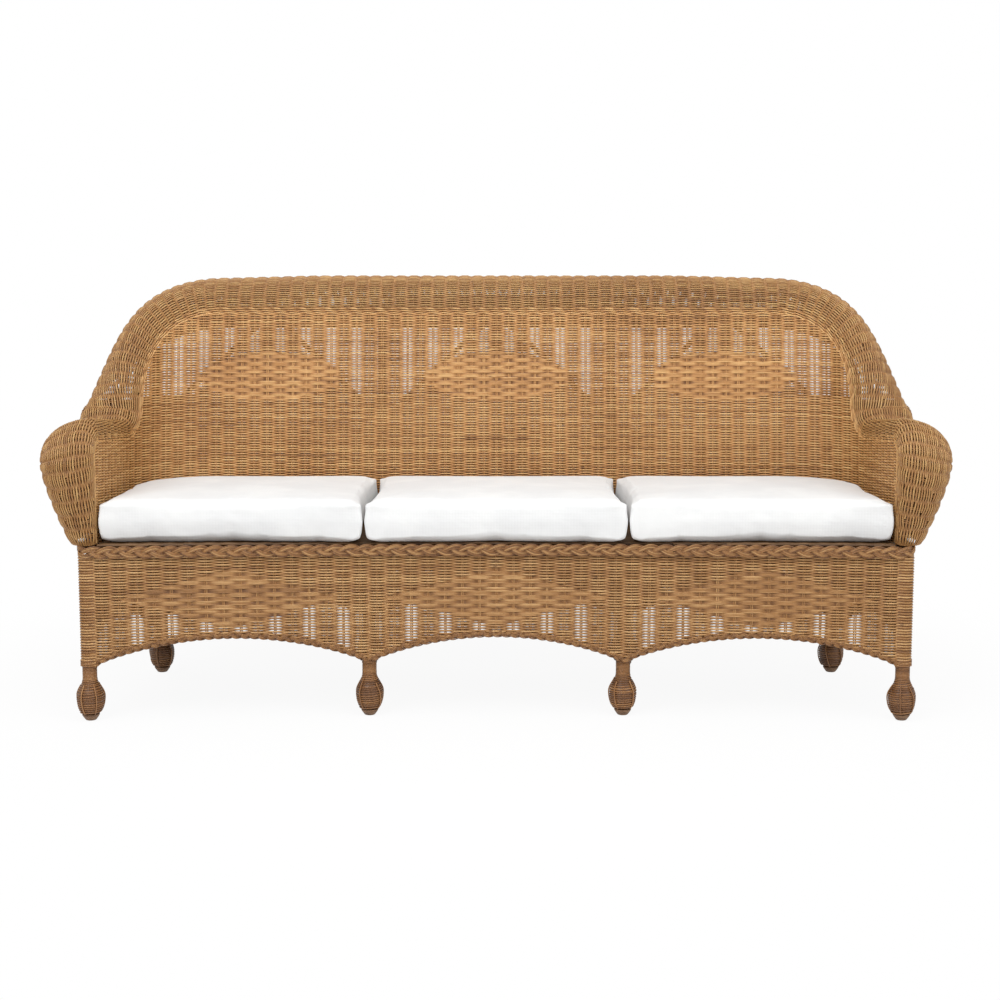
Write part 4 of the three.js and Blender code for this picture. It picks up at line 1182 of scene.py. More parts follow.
@dataclass
class Weave:
    """A surface woven from wefts that pass in front of and behind pairs of stakes.

    `shed` gives the shed of each place of a row, `loose` how far its wefts draw together in pairs
    at the stakes, and `spread` where each row runs at each place and how thick it is there, with 0
    where it has ended. `face` is the side of the surface that is looked at, on which the hollows get
    painted shade and the crowns painted light.
    """

    surface: Surface
    stakes: Array
    rows: Array
    inside: Outline
    ends: tuple[float, float]
    seed: int
    shed: Outline | None = None
    loose: Outline | None = None
    spread: Callable[[Array], tuple[Array, Array]] | None = None
    face: float = 1.0
    lift: float = 0.0030
    flat: float = 0.20
    waver: float = 0.04
    pinch: float = -0.05
    points_per_cell: int = 3
    basket_lift: float = 0.5
    loose_lift: float = 0.4
    uneven_lift: tuple[float, float] = (0.88, 1.08)
    uneven_draw: tuple[float, float] = (0.55, 1.0)
    splice_points: tuple[int, int] = (14, 70)
    splice_tone: tuple[float, float] = (0.5, 0.11)
    stake_lean: float = 0.0004

    def __post_init__(self) -> None:
        """Seeds the chance in tones and places."""
        self.chance = np.random.default_rng(self.seed)

    def splices(self, count: int) -> Array:
        """Tones of a weft's points: it is joined from reeds of different colours.

        Args:
            count: How many points the weft has.

        Returns:
            A tone for each point.
        """
        tones = np.empty(count)
        at = 0
        while at < count:
            length = int(self.chance.integers(*self.splice_points))
            tones[at : at + length] = np.clip(self.chance.normal(*self.splice_tone), 0, 1)
            at += length
        return tones

    def _edge(self, kept: float, lost: float, v: float) -> float:
        """Place between two where the weave's outline is.

        Args:
            kept: A place inside the outline.
            lost: A place outside it.
            v: The row's height or depth.

        Returns:
            The last place found inside.
        """
        for _ in range(10):
            middle = (kept + lost) / 2
            if self.inside(np.array([middle]), np.array([v]))[0]:
                kept = middle
            else:
                lost = middle
        return kept

    def _places(self) -> tuple[Array, Array, Array]:
        """Places along a row, the stake that each belongs to and its share of the lift.

        Returns:
            The places, the stakes' numbers and the shares.
        """
        stakes = self.stakes
        index = np.arange(len(stakes))
        middles = (stakes[1:] + stakes[:-1]) / 2
        crowns = [stakes]
        if self.points_per_cell == 3:
            gaps = np.diff(stakes)
            before = stakes - self.flat * np.concatenate([[gaps[0]], gaps])
            crowns = [before, stakes + self.flat * np.concatenate([gaps, [gaps[-1]]])]
        us = np.concatenate([*crowns, middles, self.ends])
        owner = np.concatenate([index] * len(crowns) + [index[1:], [0, len(stakes) - 1]])
        share = np.repeat([1.0, 0.0], [len(crowns) * len(stakes), len(middles) + 2])
        order = np.argsort(us, kind="stable")
        us, owner, share = us[order], owner[order], share[order]
        within = (us >= self.ends[0] - 1e-9) & (us <= self.ends[1] + 1e-9)
        return us[within], owner[within], share[within]

    def courses(self) -> list[Course]:
        """The rows, each cut where the weave's outline or its own end is.

        Returns:
            The wefts, from the first row to the last.
        """
        us, owner, share = self._places()
        middles = np.repeat(self.rows[:, None], len(us), axis=1)
        thick = np.ones(middles.shape)
        if self.spread:
            middles, thick = self.spread(us)
        pitch = self.rows[1] - self.rows[0]
        courses = []
        for i, (row, girth) in enumerate(zip(middles, thick)):
            v = row + self.chance.uniform(-self.waver, self.waver) * pitch
            here = self.inside(us, v)
            shed = self.shed(us, v) if self.shed else np.zeros(len(us), int)
            basket = shed == Shed.BASKET
            loose = self.loose(us, v) if self.loose else np.zeros(len(us))
            loose = np.where(basket, 0.0, loose)
            turn = np.where(basket, i // 3, i)
            lift = np.where((owner + turn) % 2 == 0, -1.0, 1.0) * share * self.lift
            flatter = np.where(basket, self.basket_lift, 1 - self.loose_lift * loose)
            lift = lift * self.chance.uniform(*self.uneven_lift, len(us)) * flatter
            draw = np.where(basket, (1 - i % 3) * self.pinch, (0.5 - i % 2) * loose)
            vs = v + draw * share * pitch * self.chance.uniform(*self.uneven_draw, len(us))
            for a, b in stretches(here & (girth > 0)):
                line = [us[a:b], vs[a:b], lift[a:b], girth[a:b]]
                if a > 0 and not here[a - 1]:
                    end = [self._edge(us[a], us[a - 1], v[a]), v[a], 0.0, girth[a]]
                    line = [np.concatenate([[first], rest]) for first, rest in zip(end, line)]
                if b < len(us) and not here[b]:
                    end = [self._edge(us[b - 1], us[b], v[b - 1]), v[b - 1], 0.0, girth[b - 1]]
                    line = [np.concatenate([rest, [last]]) for last, rest in zip(end, line)]
                u, v_at, raised, thickness = line
                if len(u) > 1:
                    courses.append(Course(u, v_at, raised, self.splices(len(u)), thickness))
        return courses

    def strands(self, courses: Sequence[Course]) -> Strands:
        """Strands through the places of wefts, lifted off the surface, with painted shade where they lie
        behind the stakes and painted light where they lie in front.

        Args:
            courses: The wefts.

        Returns:
            The strands.
        """
        strands = Strands()
        if not courses:
            return strands
        keys = ("u", "v", "lift")
        u, v, lift = (np.concatenate([getattr(course, key) for course in courses]) for key in keys)
        points = self.surface(u, v) + surface_normals(self.surface, u, v) * lift[:, None]
        at = 0
        for course in courses:
            count = len(course.u)
            # Painted shade where the weft lies behind a stake on the looked-at side, fainter painted light
            # where it lies in front.
            relief = course.lift * self.face / self.lift
            relief = np.where(relief > 0, CROWN_PAINTED_LIGHT, 1.0) * relief
            strands.add(points[at : at + count], course.tone, course.girth, relief)
            at += count
        return strands

    def uprights(self, span: tuple[float, float], count: int, pair: float = 0.0019) -> Strands:
        """The pairs of stakes.

        Args:
            span: Range of the stakes' own coordinate.
            count: Points along a stake.
            pair: Half the distance between the two reeds of a pair.

        Returns:
            Their strands.
        """
        vs = np.linspace(*span, count)
        step = 1e-4
        courses = []
        for stake in self.stakes:
            us = np.full(count, stake)
            shift = self.surface(us + step, vs) - self.surface(us - step, vs)
            metric = np.linalg.norm(shift, axis=1) / (2 * step)
            for a, b in stretches(self.inside(us, vs)):
                for side in (-1, 1):
                    lean = self.chance.uniform(-self.stake_lean, self.stake_lean)
                    line = us[a:b] + (side * pair + lean) / metric[a:b]
                    if len(line) > 1:
                        flat = np.zeros(b - a)
                        courses.append(Course(line, vs[a:b], flat, self.splices(b - a), flat + 1))
        return self.strands(courses)


@dataclass
class Workshop:
    """The finishes and the sweep that every sub-assembly uses."""

    sweep: ReedSweep
    weave: Material
    wall: Material
    border: Material
    braid: Material
    cane: Material
    pole: Material
    disc: Material
    splint: Material
    fabric: Material

    @classmethod
    def open(cls) -> "Workshop":
        """Builds every finish once.

        Returns:
            The workshop.
        """
        # The deck's reeds are coloured very dark: painted shade, for the cushions' shadow on the strip of
        # deck in front of them.
        painted_shade_deck_colours = ((0.060, 0.026, 0.009), (0.120, 0.058, 0.020), (0.240, 0.125, 0.048))
        finishes = {
            "weave": ReedFinish("rattan_reed", middle=(0.355, 0.172, 0.053)),
            # The seat wall's and trim's reed is a lighter copy of the others: painted light for the back's
            # better lit face.
            "wall": ReedFinish("wall_reed_painted_light", middle=(0.500, 0.250, 0.083), light=(0.760, 0.480, 0.200)),
            "border": ReedFinish("border_reed", middle=(0.345, 0.166, 0.051), light=(0.570, 0.345, 0.130)),
            "braid": ReedFinish("plaited_reed", middle=(0.300, 0.138, 0.042), light=(0.470, 0.265, 0.100)),
            "cane": ReedFinish("cane_wrap", middle=(0.300, 0.138, 0.046), light=(0.480, 0.265, 0.105)),
            "pole": PoleFinish(),
            "disc": DiscFinish(),
            "splint": ReedFinish("flat_splint_painted_shade", *painted_shade_deck_colours, roughness=0.6, coat=0.0),
            "fabric": FabricFinish(),
        }
        return cls(ReedSweep(), **{key: finish.material() for key, finish in finishes.items()})

    def reeds(
        self,
        name: str,
        strands: Strands,
        radius: float,
        sides: int,
        finish: Material,
        slot: str,
        *nodes: str,
    ) -> None:
        """Sweeps strands and settles them on the frame body.

        Args:
            name: The piece's name.
            strands: Lines to sweep along.
            radius: Radius of a reed.
            sides: Sides of a reed.
            finish: Its material.
            slot: The record's material slot; not used.
            nodes: The solids that the piece stands for.
        """
        settle(self.sweep.make(name, strands, radius, sides, finish), "frame", nodes)

    def woven(self, name: str, strands: Strands, sides: int, finish: Material, *nodes: str) -> None:
        """Settles wefts, which are as thick as a reed."""
        self.reeds(name, strands, REED, sides, finish, "weave", *nodes)

    def staked(self, name: str, strands: Strands, sides: int, finish: Material, *nodes: str) -> None:
        """Settles stakes, which are thinner than the wefts."""
        self.reeds(name, strands, STAKE, sides, finish, "weave", *nodes)


@dataclass
class SeatWall:
    """Inner face of the back and arms: one weave round the seat, with open and basket places."""

    shop: Workshop
    stake_pitch: float = 0.033665
    bay: float = 0.598
    lozenge: tuple[float, float] = (0.185, 0.062)
    lozenge_height: float = 0.772
    open_from: float = 0.724
    crown_from: float = 0.838
    brace_slope: float = 0.978
    wing_from: float = 0.790
    arm_from: float = 1.150
    arm_above: float = 0.50
    under_trim: float = 0.004
    brace_drop: float = 0.020
    looseness: tuple[float, float, float, float] = (0.74, 0.58, 0.28, 0.30)
    bands: tuple[float, float] = (0.52, 0.64)
    overrun: float = 0.03

    def inside(self, u: Array, z: Array) -> Array:
        """Whether places are on the wall, within the trim line."""
        below = z < SEAT.wall_top(u, self.under_trim)
        return below & (np.abs(u) < SEAT.along_arm(SEAT.arm_front + self.under_trim, z))

    def from_bay(self, u: Array) -> Array:
        """Distance of places from the middle of the bay that they lie in."""
        return np.minimum(np.abs(u), np.abs(np.abs(u) - self.bay))

    def shed(self, u: Array, z: Array) -> Array:
        """Sheds of a row: a basket lozenge in each bay.

        Args:
            u: Places along the row.
            z: Heights of the rows.

        Returns:
            The shed of each place.
        """
        across = self.from_bay(u) / self.lozenge[0]
        lozenge = across**2 + ((z - self.lozenge_height) / self.lozenge[1]) ** 2 < 1
        return np.where(lozenge, Shed.BASKET, Shed.PLAIN)

    def loose(self, u: Array, z: Array) -> Array:
        """Open places: above the braces and beside the wings, less in the bays' crowns and arms.

        Args:
            u: Places along the row.
            z: Heights of the rows.

        Returns:
            How far wefts draw together at each place.
        """
        brace = SEAT.trim_top - self.brace_drop - self.brace_slope * self.from_bay(u)
        spandrel = (z > self.open_from) & (z > brace)
        back = np.abs(u) < SEAT.wing_along
        wing = (z > self.open_from) & (np.abs(u) > self.wing_from) & back
        arm = (np.abs(u) > self.arm_from) & (z > self.arm_above)
        return np.select([wing, spandrel, back & (z > self.crown_from), arm], self.looseness, 0.0)

    def build(self) -> None:
        """Weaves the wall, which is made in three bands of rows, with its stakes."""
        last = float(SEAT.along_arm(SEAT.arm_front, SEAT.seat_height))
        count = int(last / self.stake_pitch)
        stakes = np.arange(-count, count + 1) * self.stake_pitch
        rows = np.arange(SEAT.wall_bottom + REED, SEAT.trim_top, ROW)
        ends = (-last - self.overrun, last + self.overrun)
        form = (SEAT.wall, stakes, rows, self.inside, ends, Seed.WALL)
        weave = Weave(*form, self.shed, self.loose, face=-1.0)
        courses = weave.courses()
        low, high = self.bands
        arms = ("left_arm_inner_weave", "right_arm_inner_weave")
        for band, start, end, sides, nodes in (
            ("lower", 0.0, low, 5, arms),
            ("middle", low, high, 6, (*arms, "back_weave")),
            ("upper", high, 1.0, 6, ("back_weave",)),
        ):
            part = weave.strands([course for course in courses if start <= course.v[-1] < end])
            self.shop.woven(f"seat_wall_{band}_wefts", part, sides, self.shop.wall, *nodes)
        uprights = weave.uprights((SEAT.wall_bottom, SEAT.trim_top), 60)
        self.shop.staked("seat_wall_stakes", uprights, 5, self.shop.wall, "back_weave")


@dataclass
class RolledBorder:
    """The rolled border from the left arm's front over the back to the right arm's front."""

    shop: Workshop
    stake_pitch: float = 0.0340
    rows: int = 108
    fade: float = 18.0
    least: float = 0.4
    foot: float = -0.030
    row_span: tuple[float, float] = (0.012, 0.994)
    thickness: tuple[float, float] = (0.75, 1.2)
    side_parts: float = 5.32

    def stations(self) -> tuple[Array, Array, Array]:
        """Stations at even distances along the border's crest, on the left half.

        Returns:
            Fine stations, their distances and the girth of the border at each.
        """
        fine = np.linspace(0, 6, 2401)
        crest = SEAT.roll(fine, np.full_like(fine, 0.5))
        run = distances(crest)
        shares = np.linspace(0, 1, 41)
        section = SEAT.roll(fine[:, None], shares[None, :])
        girth = np.linalg.norm(np.diff(section, axis=1), axis=2).sum(axis=1)
        return fine, run, girth

    def even(self) -> Surface:
        """The border with its shares spaced evenly round each of its sections.

        Returns:
            The border as a surface of station and share.
        """
        stations = np.linspace(self.foot - 0.01, 6, 301)
        shares, levels = np.linspace(0, 1, 161), np.linspace(0, 1, 81)
        section = SEAT.roll(stations[:, None], shares[None, :])
        steps = np.linalg.norm(np.diff(section, axis=1), axis=2)
        runs = np.concatenate([np.zeros((len(stations), 1)), np.cumsum(steps, axis=1)], axis=1)
        table = np.stack([np.interp(levels, run / run[-1], shares) for run in runs])

        def surface(u: Array, level: Array) -> Array:
            """Points of the border by station and evenly spaced share.

            Args:
                u: Stations.
                level: Shares from the inner edge to the outer one.

            Returns:
                Points of the border.
            """
            u, level = floats(u, level)
            s = np.where(u > 6, 12 - u, u)
            row = np.clip((s - stations[0]) / (stations[1] - stations[0]), 0, len(stations) - 1.001)
            column = np.clip(level * (len(levels) - 1), 0, len(levels) - 1.001)
            i, j = row.astype(int), column.astype(int)
            low = mix(table[i, j], table[i, j + 1], column - j)
            high = mix(table[i + 1, j], table[i + 1, j + 1], column - j)
            return SEAT.roll(u, mix(low, high, row - i))

        return surface

    def build(self) -> None:
        """Weaves the border in parts: two arms and three lengths of the back."""
        fine, run, girth = self.stations()
        cells = round(run[-1] / self.stake_pitch)
        half = np.interp((np.arange(cells) + 0.5) * run[-1] / cells, run, fine)
        stakes = np.concatenate([half, 12 - half[::-1]])
        rows = np.linspace(*self.row_span, self.rows)
        pairs = np.arange(self.rows) // 2
        rank = (pairs * GOLDEN) % 1.0

        def spread(us: Array) -> tuple[Array, Array]:
            """Rows end in pairs where the border narrows, and the others close up over them.

            Args:
                us: Stations along the border.

            Returns:
                The share at which each row runs there and how thick it is.
            """
            here = np.interp(np.where(us > 6, 12 - us, us), fine, girth)
            fitting = here / (ROW * self.rows)
            width = np.clip((fitting - rank[:, None]) * self.fade + 0.5, 0, 1)
            total = width.sum(axis=0)
            middles = mix(rows[0], rows[-1], (np.cumsum(width, axis=0) - width / 2) / total)
            thick = np.clip(here * width / total / ROW, *self.thickness)
            return middles, np.where(width > self.least, thick, 0.0)

        def everywhere(u: Array, v: Array) -> Array:
            """The border has no outline of its own."""
            return np.ones(np.broadcast(u, v).shape, bool)

        ends = (self.foot, 12 - self.foot)
        weave = Weave(self.even(), stakes, rows, everywhere, ends, Seed.BORDER, spread=spread)
        courses = weave.courses()
        names = ("left_arm_roll", "back_roll_left", "back_roll_middle", "back_roll_right", "right_arm_roll")
        cuts = (self.foot, 4.0, self.side_parts, 12 - self.side_parts, 8.0, 12 - self.foot)
        for name, low, high in zip(names, cuts, cuts[1:]):
            node = name if "arm" in name else "back_roll"
            parts = [course.part(low, high) for course in courses]
            strands = weave.strands([part for part in parts if part])
            self.shop.woven(f"{name}_wefts", strands, 6, self.shop.border, node)
        uprights = weave.uprights((0.03, 1.0), 22)
        nodes = ("left_arm_roll", "right_arm_roll", "back_roll")
        self.shop.staked("border_stakes", uprights, 5, self.shop.border, *nodes)


@dataclass
class OuterPanels:
    """Outer faces of the arms, from the arm fronts round the rear corners to the corner posts."""

    shop: Workshop
    stake_pitch: float = 0.0345
    length: float = 0.655
    highest: float = 0.72
    first_stake: float = 0.008
    row_drop: float = 0.005
    over_braid: float = 0.0005
    post_clear: float = 0.0133

    def top(self, run: Array) -> Array:
        """Height of the border's outer edge over places of the panel.

        Args:
            run: Places along the panel.

        Returns:
            Heights.
        """
        stations = np.linspace(1.0, 4.4, 341)
        edge = SEAT.outer_edge(stations)
        depth = SEAT.outer_panel(run, np.full(len(run), SEAT.arm_widest))[:, 1]
        return np.interp(depth, edge[:, 1], edge[:, 2])

    def build(self) -> None:
        """Weaves the left panel and its mirror."""

        def inside(u: Array, z: Array) -> Array:
            """Whether places are under the border's edge and outside the corner post."""
            post = -SEAT.wall(SEAT.corner_middle, z, POST_DEPTH)[..., 0]
            return (z < self.top(u)) & (-SEAT.outer_panel(u, z)[..., 0] > post + self.post_clear)

        stakes = np.arange(self.first_stake, self.length, self.stake_pitch)
        rows = np.arange(BASE.braid_top + REED, self.highest - self.row_drop, ROW)
        form = (SEAT.outer_panel, stakes, rows, inside, (0.0, self.length), Seed.PANEL)
        weave = Weave(*form, points_per_cell=2)
        wefts = weave.strands(weave.courses())
        uprights = weave.uprights((BASE.braid_top + self.over_braid, self.highest), 40)
        for side, part, posts in (
            ("left", wefts, uprights),
            ("right", wefts.mirrored(), uprights.mirrored()),
        ):
            node = f"{side}_arm_outer_weave"
            self.shop.woven(f"{side}_arm_outer_wefts", part, 5, self.shop.border, node)
            self.shop.staked(f"{side}_arm_outer_stakes", posts, 6, self.shop.border, node)


@dataclass
class Skirt:
    """The woven skirt under the deck braid, with a basket lozenge and open corners in each bay.

    `corner_sheds` are the outward shift and the relief of every other weft round a front leg:
    painted shade on the inner wefts, a little painted light on the outer ones.
    """

    shop: Workshop
    stake_pitch: float = 0.040
    lozenge_share: float = 0.43
    widest: float = 0.26
    narrowest: float = 0.195
    lozenge_rise: float = 0.072
    lozenge_height: float = 0.288
    open_below: float = 0.279
    leg_band: float = 0.045
    leg_wrap: float = 0.0168
    over_border: float = 0.012
    looseness: float = 0.72
    under_braid: float = 0.004
    corner_lap: float = 0.005
    corner_spare: float = 0.25
    corner_rise: float = 0.002
    corner_sheds: tuple[tuple[float, float], ...] = ((-0.0010, -0.8), (0.0012, 0.2))

    def from_lozenge(self, u: Array, z: Array, bays: Sequence[tuple[float, float]]) -> Array:
        """Distance from the lozenges' middles against their size: below 1 inside one.

        Args:
            u: Places along the row.
            z: Heights of the rows.
            bays: Where each bay begins and ends.

        Returns:
            The distances.
        """
        reach = np.full(len(u), 9.0)
        for low, high in bays:
            wide = np.clip(self.lozenge_share * (high - low), self.narrowest, self.widest)
            across = np.abs(u - (low + high) / 2) / wide
            reach = np.minimum(reach, across + abs(z - self.lozenge_height) / self.lozenge_rise)
        return reach

    def weave(
        self,
        surface: Surface,
        arch: Callable[[Array], Array],
        span: tuple[float, float],
        bays: Sequence[tuple[float, float]],
        seed: int,
        points: int,
    ) -> tuple[Strands, Strands]:
        """Weaves one skirt.

        Args:
            surface: The skirt's face.
            arch: Height of its lower edge.
            span: Its ends.
            bays: Ends of each bay.
            seed: Seed of its chance.
            points: Points of a weft for each stake.

        Returns:
            Its wefts and its stakes.
        """

        def inside(u: Array, z: Array) -> Array:
            """Whether places are above the arched border."""
            return z > arch(u) + self.over_border

        def shed(u: Array, z: Array) -> Array:
            """Sheds of a row: a basket lozenge in each bay."""
            return np.where(self.from_lozenge(u, z, bays) < 1, Shed.BASKET, Shed.PLAIN)

        def loose(u: Array, z: Array) -> Array:
            """Open places: low in the bays, off the legs."""
            legs = np.min([np.abs(u - edge) for bay in bays for edge in bay], axis=0)
            return np.where((z < self.open_below) & (legs > self.leg_band), self.looseness, 0.0)

        count = round((span[1] - span[0]) / self.stake_pitch)
        pitch = (span[1] - span[0]) / count
        stakes = span[0] + (np.arange(count) + 0.5) * pitch
        top = BASE.skirt_top + self.under_braid
        rows = np.arange(BASE.bottom + BASE.border, top, ROW)
        weave = Weave(surface, stakes, rows, inside, span, seed, shed, loose, points_per_cell=points)
        return weave.strands(weave.courses()), weave.uprights((BASE.bottom, top), 48)

    def corner(self) -> Strands:
        """Wefts that pass round the left front leg, from the front skirt to the side skirt.

        Returns:
            The strands.
        """
        chance = np.random.default_rng(Seed.CORNER)
        x, y = -BASE.outer_leg, BASE.side_front - BASE.leg_clear
        inner = -BASE.front_end + self.corner_lap
        start = np.array([inner, float(BASE.front_line(inner))])
        end = np.array([-BASE.half, BASE.side_front + self.corner_lap])
        spare = self.corner_spare
        angles = np.linspace(-QUARTER + spare, -2 * QUARTER - spare, 9)
        circle = np.stack([np.cos(angles), np.sin(angles)], 1)
        heights = np.arange(BASE.bottom + self.corner_rise, BASE.skirt_top + self.corner_rise, ROW)
        strands = Strands()
        for i, z in enumerate(heights):
            # The relief paints shade on the inner wefts and a little light on the outer ones.
            out, relief = self.corner_sheds[i % 2]
            turn = np.array([x, y]) + (self.leg_wrap + out) * circle
            tone = float(np.clip(chance.normal(0.5, 0.16), 0, 1))
            strands.add(at_height(np.concatenate([[start], turn, [end]]), z), tone, 1.0, relief)
        return strands

    def build(self) -> None:
        """Weaves the front, rear and side skirts and the front corners between them."""
        made = {}
        for name, surface, arch, span, edges, seed, points in (
            ("left", BASE.side, BASE.side_arch, SIDE_SPAN, (0.0, BASE.side_end), Seed.SIDE_SKIRT, 2),
            ("front", BASE.front, BASE.front_arch, FRONT_SPAN, BASE.front_edges, Seed.FRONT_SKIRT, 3),
            ("rear", BASE.rear, BASE.rear_arch, REAR_SPAN, BASE.rear_edges, Seed.REAR_SKIRT, 2),
        ):
            made[name] = self.weave(surface, arch, span, list(zip(edges, edges[1:])), seed, points)
        made["right"] = tuple(part.mirrored() for part in made["left"])
        wrap = self.corner()
        for side, strands in (("left", wrap), ("right", wrap.mirrored())):
            node = f"{side}_front_outer_leg"
            self.shop.woven(f"{side}_corner_wefts", strands, 6, self.shop.weave, node)
        for side in ("front", "rear", "left", "right"):
            wefts, uprights = made[side]
            sides = 6 if side == "front" else 5
            self.shop.woven(f"{side}_skirt_wefts", wefts, sides, self.shop.weave, f"{side}_skirt")
            self.shop.staked(f"{side}_skirt_stakes", uprights, 5, self.shop.weave, f"{side}_skirt")


# Plaits and twined trim.


@dataclass
class Guide:
    """A path with a direction across it and one out of it, sampled at even distances."""

    points: Array
    across: Array
    out: Array
    run: Array

    @classmethod
    def along(cls, points: Array, up: Array, step: float) -> "Guide":
        """Samples a path.

        Args:
            points: The path, as fine points.
            up: Direction across the path at each point; it is made square to the path.
            step: Distance between samples.

        Returns:
            The guide.
        """
        run = distances(points)
        at = np.linspace(0, run[-1], max(2, int(run[-1] / step)))
        line = resampled(at, run, points)
        raised = resampled(at, run, up)
        tangent = unit(np.gradient(line, axis=0))
        across = unit(raised - tangent * (raised * tangent).sum(1, keepdims=True))
        return cls(line, across, np.cross(tangent, across), at)

    def offset(self, across: Array, out: Array) -> Array:
        """Line at distances across and out of the guide."""
        return self.points + self.across * across[:, None] + self.out * out[:, None]


@dataclass(frozen=True)
class Plait:
    """Three-strand plait of flat bundles of reeds.

    `period` is the length in which a strand comes back to its place, `reed` the radius of a reed,
    `out` how far the plait's middle lies out of its guide and `step` how finely that is sampled.
    `relief` is the strength of the painted shade where a strand dips under, and `crown` caps the
    painted light where it rises.
    """

    width: float
    depth: float
    period: float
    reed: float
    step: float
    out: float = 0.0
    count: int = 4
    overlap: float = 0.96
    tone: tuple[float, float] = (0.5, 0.22)
    drift: float = 0.15
    drift_length: float = 0.21
    relief: float = 0.5
    crown: float = 0.2

    def strands(self, points: Array, seed: int) -> Strands:
        """Plaits reeds along a path of points, with a seed for their tones.

        Args:
            points: The path.
            seed: The seed.

        Returns:
            The strands.
        """
        guide = Guide.along(points, np.tile([0.0, 0.0, 1.0], (len(points), 1)), self.step)
        chance = np.random.default_rng(seed)
        strands = Strands()
        swing = (self.width - self.count * 2 * self.reed) / 2
        rise = self.depth / 2 - self.reed
        for k in range(3):
            phase = 2 * math.pi * (guide.run / self.period + k / 3)
            slope = swing * 2 * math.pi / self.period * np.cos(phase)
            lean = 1 / np.sqrt(1 + slope**2)
            # Painted shade where the strand dips under the others, capped painted light where it rises.
            relief = self.relief * np.minimum(np.sin(2 * phase), self.crown)
            for place_in in np.arange(self.count) - (self.count - 1) / 2:
                offset = place_in * 2 * self.reed * self.overlap
                across = swing * np.sin(phase) + offset * lean
                line = guide.offset(across, self.out + rise * np.sin(2 * phase))
                drift = self.drift * np.sin(guide.run / self.drift_length + 2 * k + place_in)
                strands.add(line, np.clip(chance.normal(*self.tone) + drift, 0, 1), 1.0, relief)
        return strands


def rope(
    guide: Guide, centre: float, wide: float, deep: float, turn: Array, count: int, seed: int
) -> Strands:
    """Reeds twined round each other, with painted shade where each turns behind the rope.

    Args:
        guide: The path that they follow.
        centre: Distance of the rope's middle across the path.
        wide: How far the reeds' middles swing across the path.
        deep: How far they swing out of it.
        turn: Angle of the twist at each sample.
        count: Number of reeds.
        seed: Seed of the tones.

    Returns:
        The reeds.
    """
    chance = np.random.default_rng(seed)
    strands = Strands()
    for k in range(count):
        angle = turn + 2 * math.pi * k / count
        line = guide.offset(centre + wide * np.cos(angle), deep * np.sin(angle))
        tone = float(np.clip(chance.normal(0.56, 0.12), 0, 1))
        # Painted shade where the reed turns behind the rope, a little painted light where it comes to the
        # front.
        strands.add(line, tone, 1.0, np.minimum(np.sin(angle) * 1.3 - 0.3, 0.2))
    return strands


@dataclass
class Trimmings:
    """The deck braid, the skirt borders and the twined trim round the seat."""

    shop: Workshop
    deck: Plait = Plait(
        width=BASE.braid_height, depth=0.0084, period=0.105, reed=0.0016, step=0.0058, out=0.0046
    )
    hem: Plait = Plait(width=BASE.border, depth=0.0100, period=0.063, reed=0.0014, step=0.0046)
    wale_period: float = 0.0673
    wale_reed: float = 0.0020
    wale_pitch: float = 0.0060
    wale_step: float = 0.0068
    wale_swing: tuple[float, float] = (0.0012, 0.0026)
    straight_end: float = 0.24
    trim_foot: float = -0.030

    def deck_braid(self) -> None:
        """Plaits the band round the front of the deck."""
        x = BASE.half + BASE.braid_out
        corner = BASE.braid_corner
        front = float(BASE.front_line(BASE.half - corner)) - BASE.braid_out
        ys = np.linspace(BASE.corner_y + BASE.braid_tail, front + corner, 60)
        angles = np.linspace(0, QUARTER, 16)[1:]
        side = np.stack([np.full(60, -x), ys], 1)
        arc = np.stack([-x + corner * (1 - np.cos(angles)), front + corner * (1 - np.sin(angles))], 1)
        xs = np.linspace(-x + corner, x - corner, 240)[1:-1]
        line = np.stack([xs, BASE.front_line(xs) - BASE.braid_out], 1)
        left = np.concatenate([side, arc])
        right = (left * [-1, 1])[::-1]
        plan = np.concatenate([left, line, right])
        points = at_height(plan, BASE.braid_top - BASE.braid_height / 2)
        strands = self.deck.strands(points, Seed.DECK_BRAID)
        shop = self.shop
        shop.reeds("deck_braid_plait", strands, self.deck.reed, 5, shop.braid, "braid", "deck_braid")

    def borders(self) -> None:
        """Plaits the borders along the lower edges of all four skirts."""
        shop = self.shop
        made = {}
        for side, surface, arch, span, seed in (
            ("front", BASE.front, BASE.front_arch, FRONT_SPAN, Seed.FRONT_PLAIT),
            ("rear", BASE.rear, BASE.rear_arch, REAR_SPAN, Seed.REAR_PLAIT),
            ("left", BASE.side, BASE.side_arch, SIDE_SPAN, Seed.SIDE_PLAIT),
        ):
            us = np.linspace(*span, 400)
            made[side] = self.hem.strands(surface(us, arch(us) + BASE.border / 2), seed)
        made["right"] = made["left"].mirrored()
        for side, strands in made.items():
            node = f"{side}_skirt_border"
            shop.reeds(f"{side}_skirt_plait", strands, self.hem.reed, 5, shop.braid, "braid", node)

    def wale(self) -> None:
        """Twines the three ropes of the trim, which run straight down the arm fronts."""
        stations = np.linspace(self.trim_foot, 6, 1600)
        at, away = SEAT.trim_frame(stations)
        guide = Guide.along(both_halves(at), both_halves(away), self.wale_step)
        low, high = guide.run[0] + self.straight_end, guide.run[-1] - self.straight_end
        turn = np.clip(guide.run, low, high) * 2 * math.pi / self.wale_period
        strands = Strands()
        for k in (-1, 0, 1):
            centre = k * self.wale_pitch
            strands.extend(rope(guide, centre, *self.wale_swing, turn + 0.5 * k, 2, Seed.WALE + k))
        shop = self.shop
        shop.reeds("seat_trim_wale", strands, self.wale_reed, 6, shop.wall, "braid", "wale_trim")

    def build(self) -> None:
        """Makes every plait and rope."""
        self.deck_braid()
        self.borders()
        self.wale()


# Feet, poles and deck.


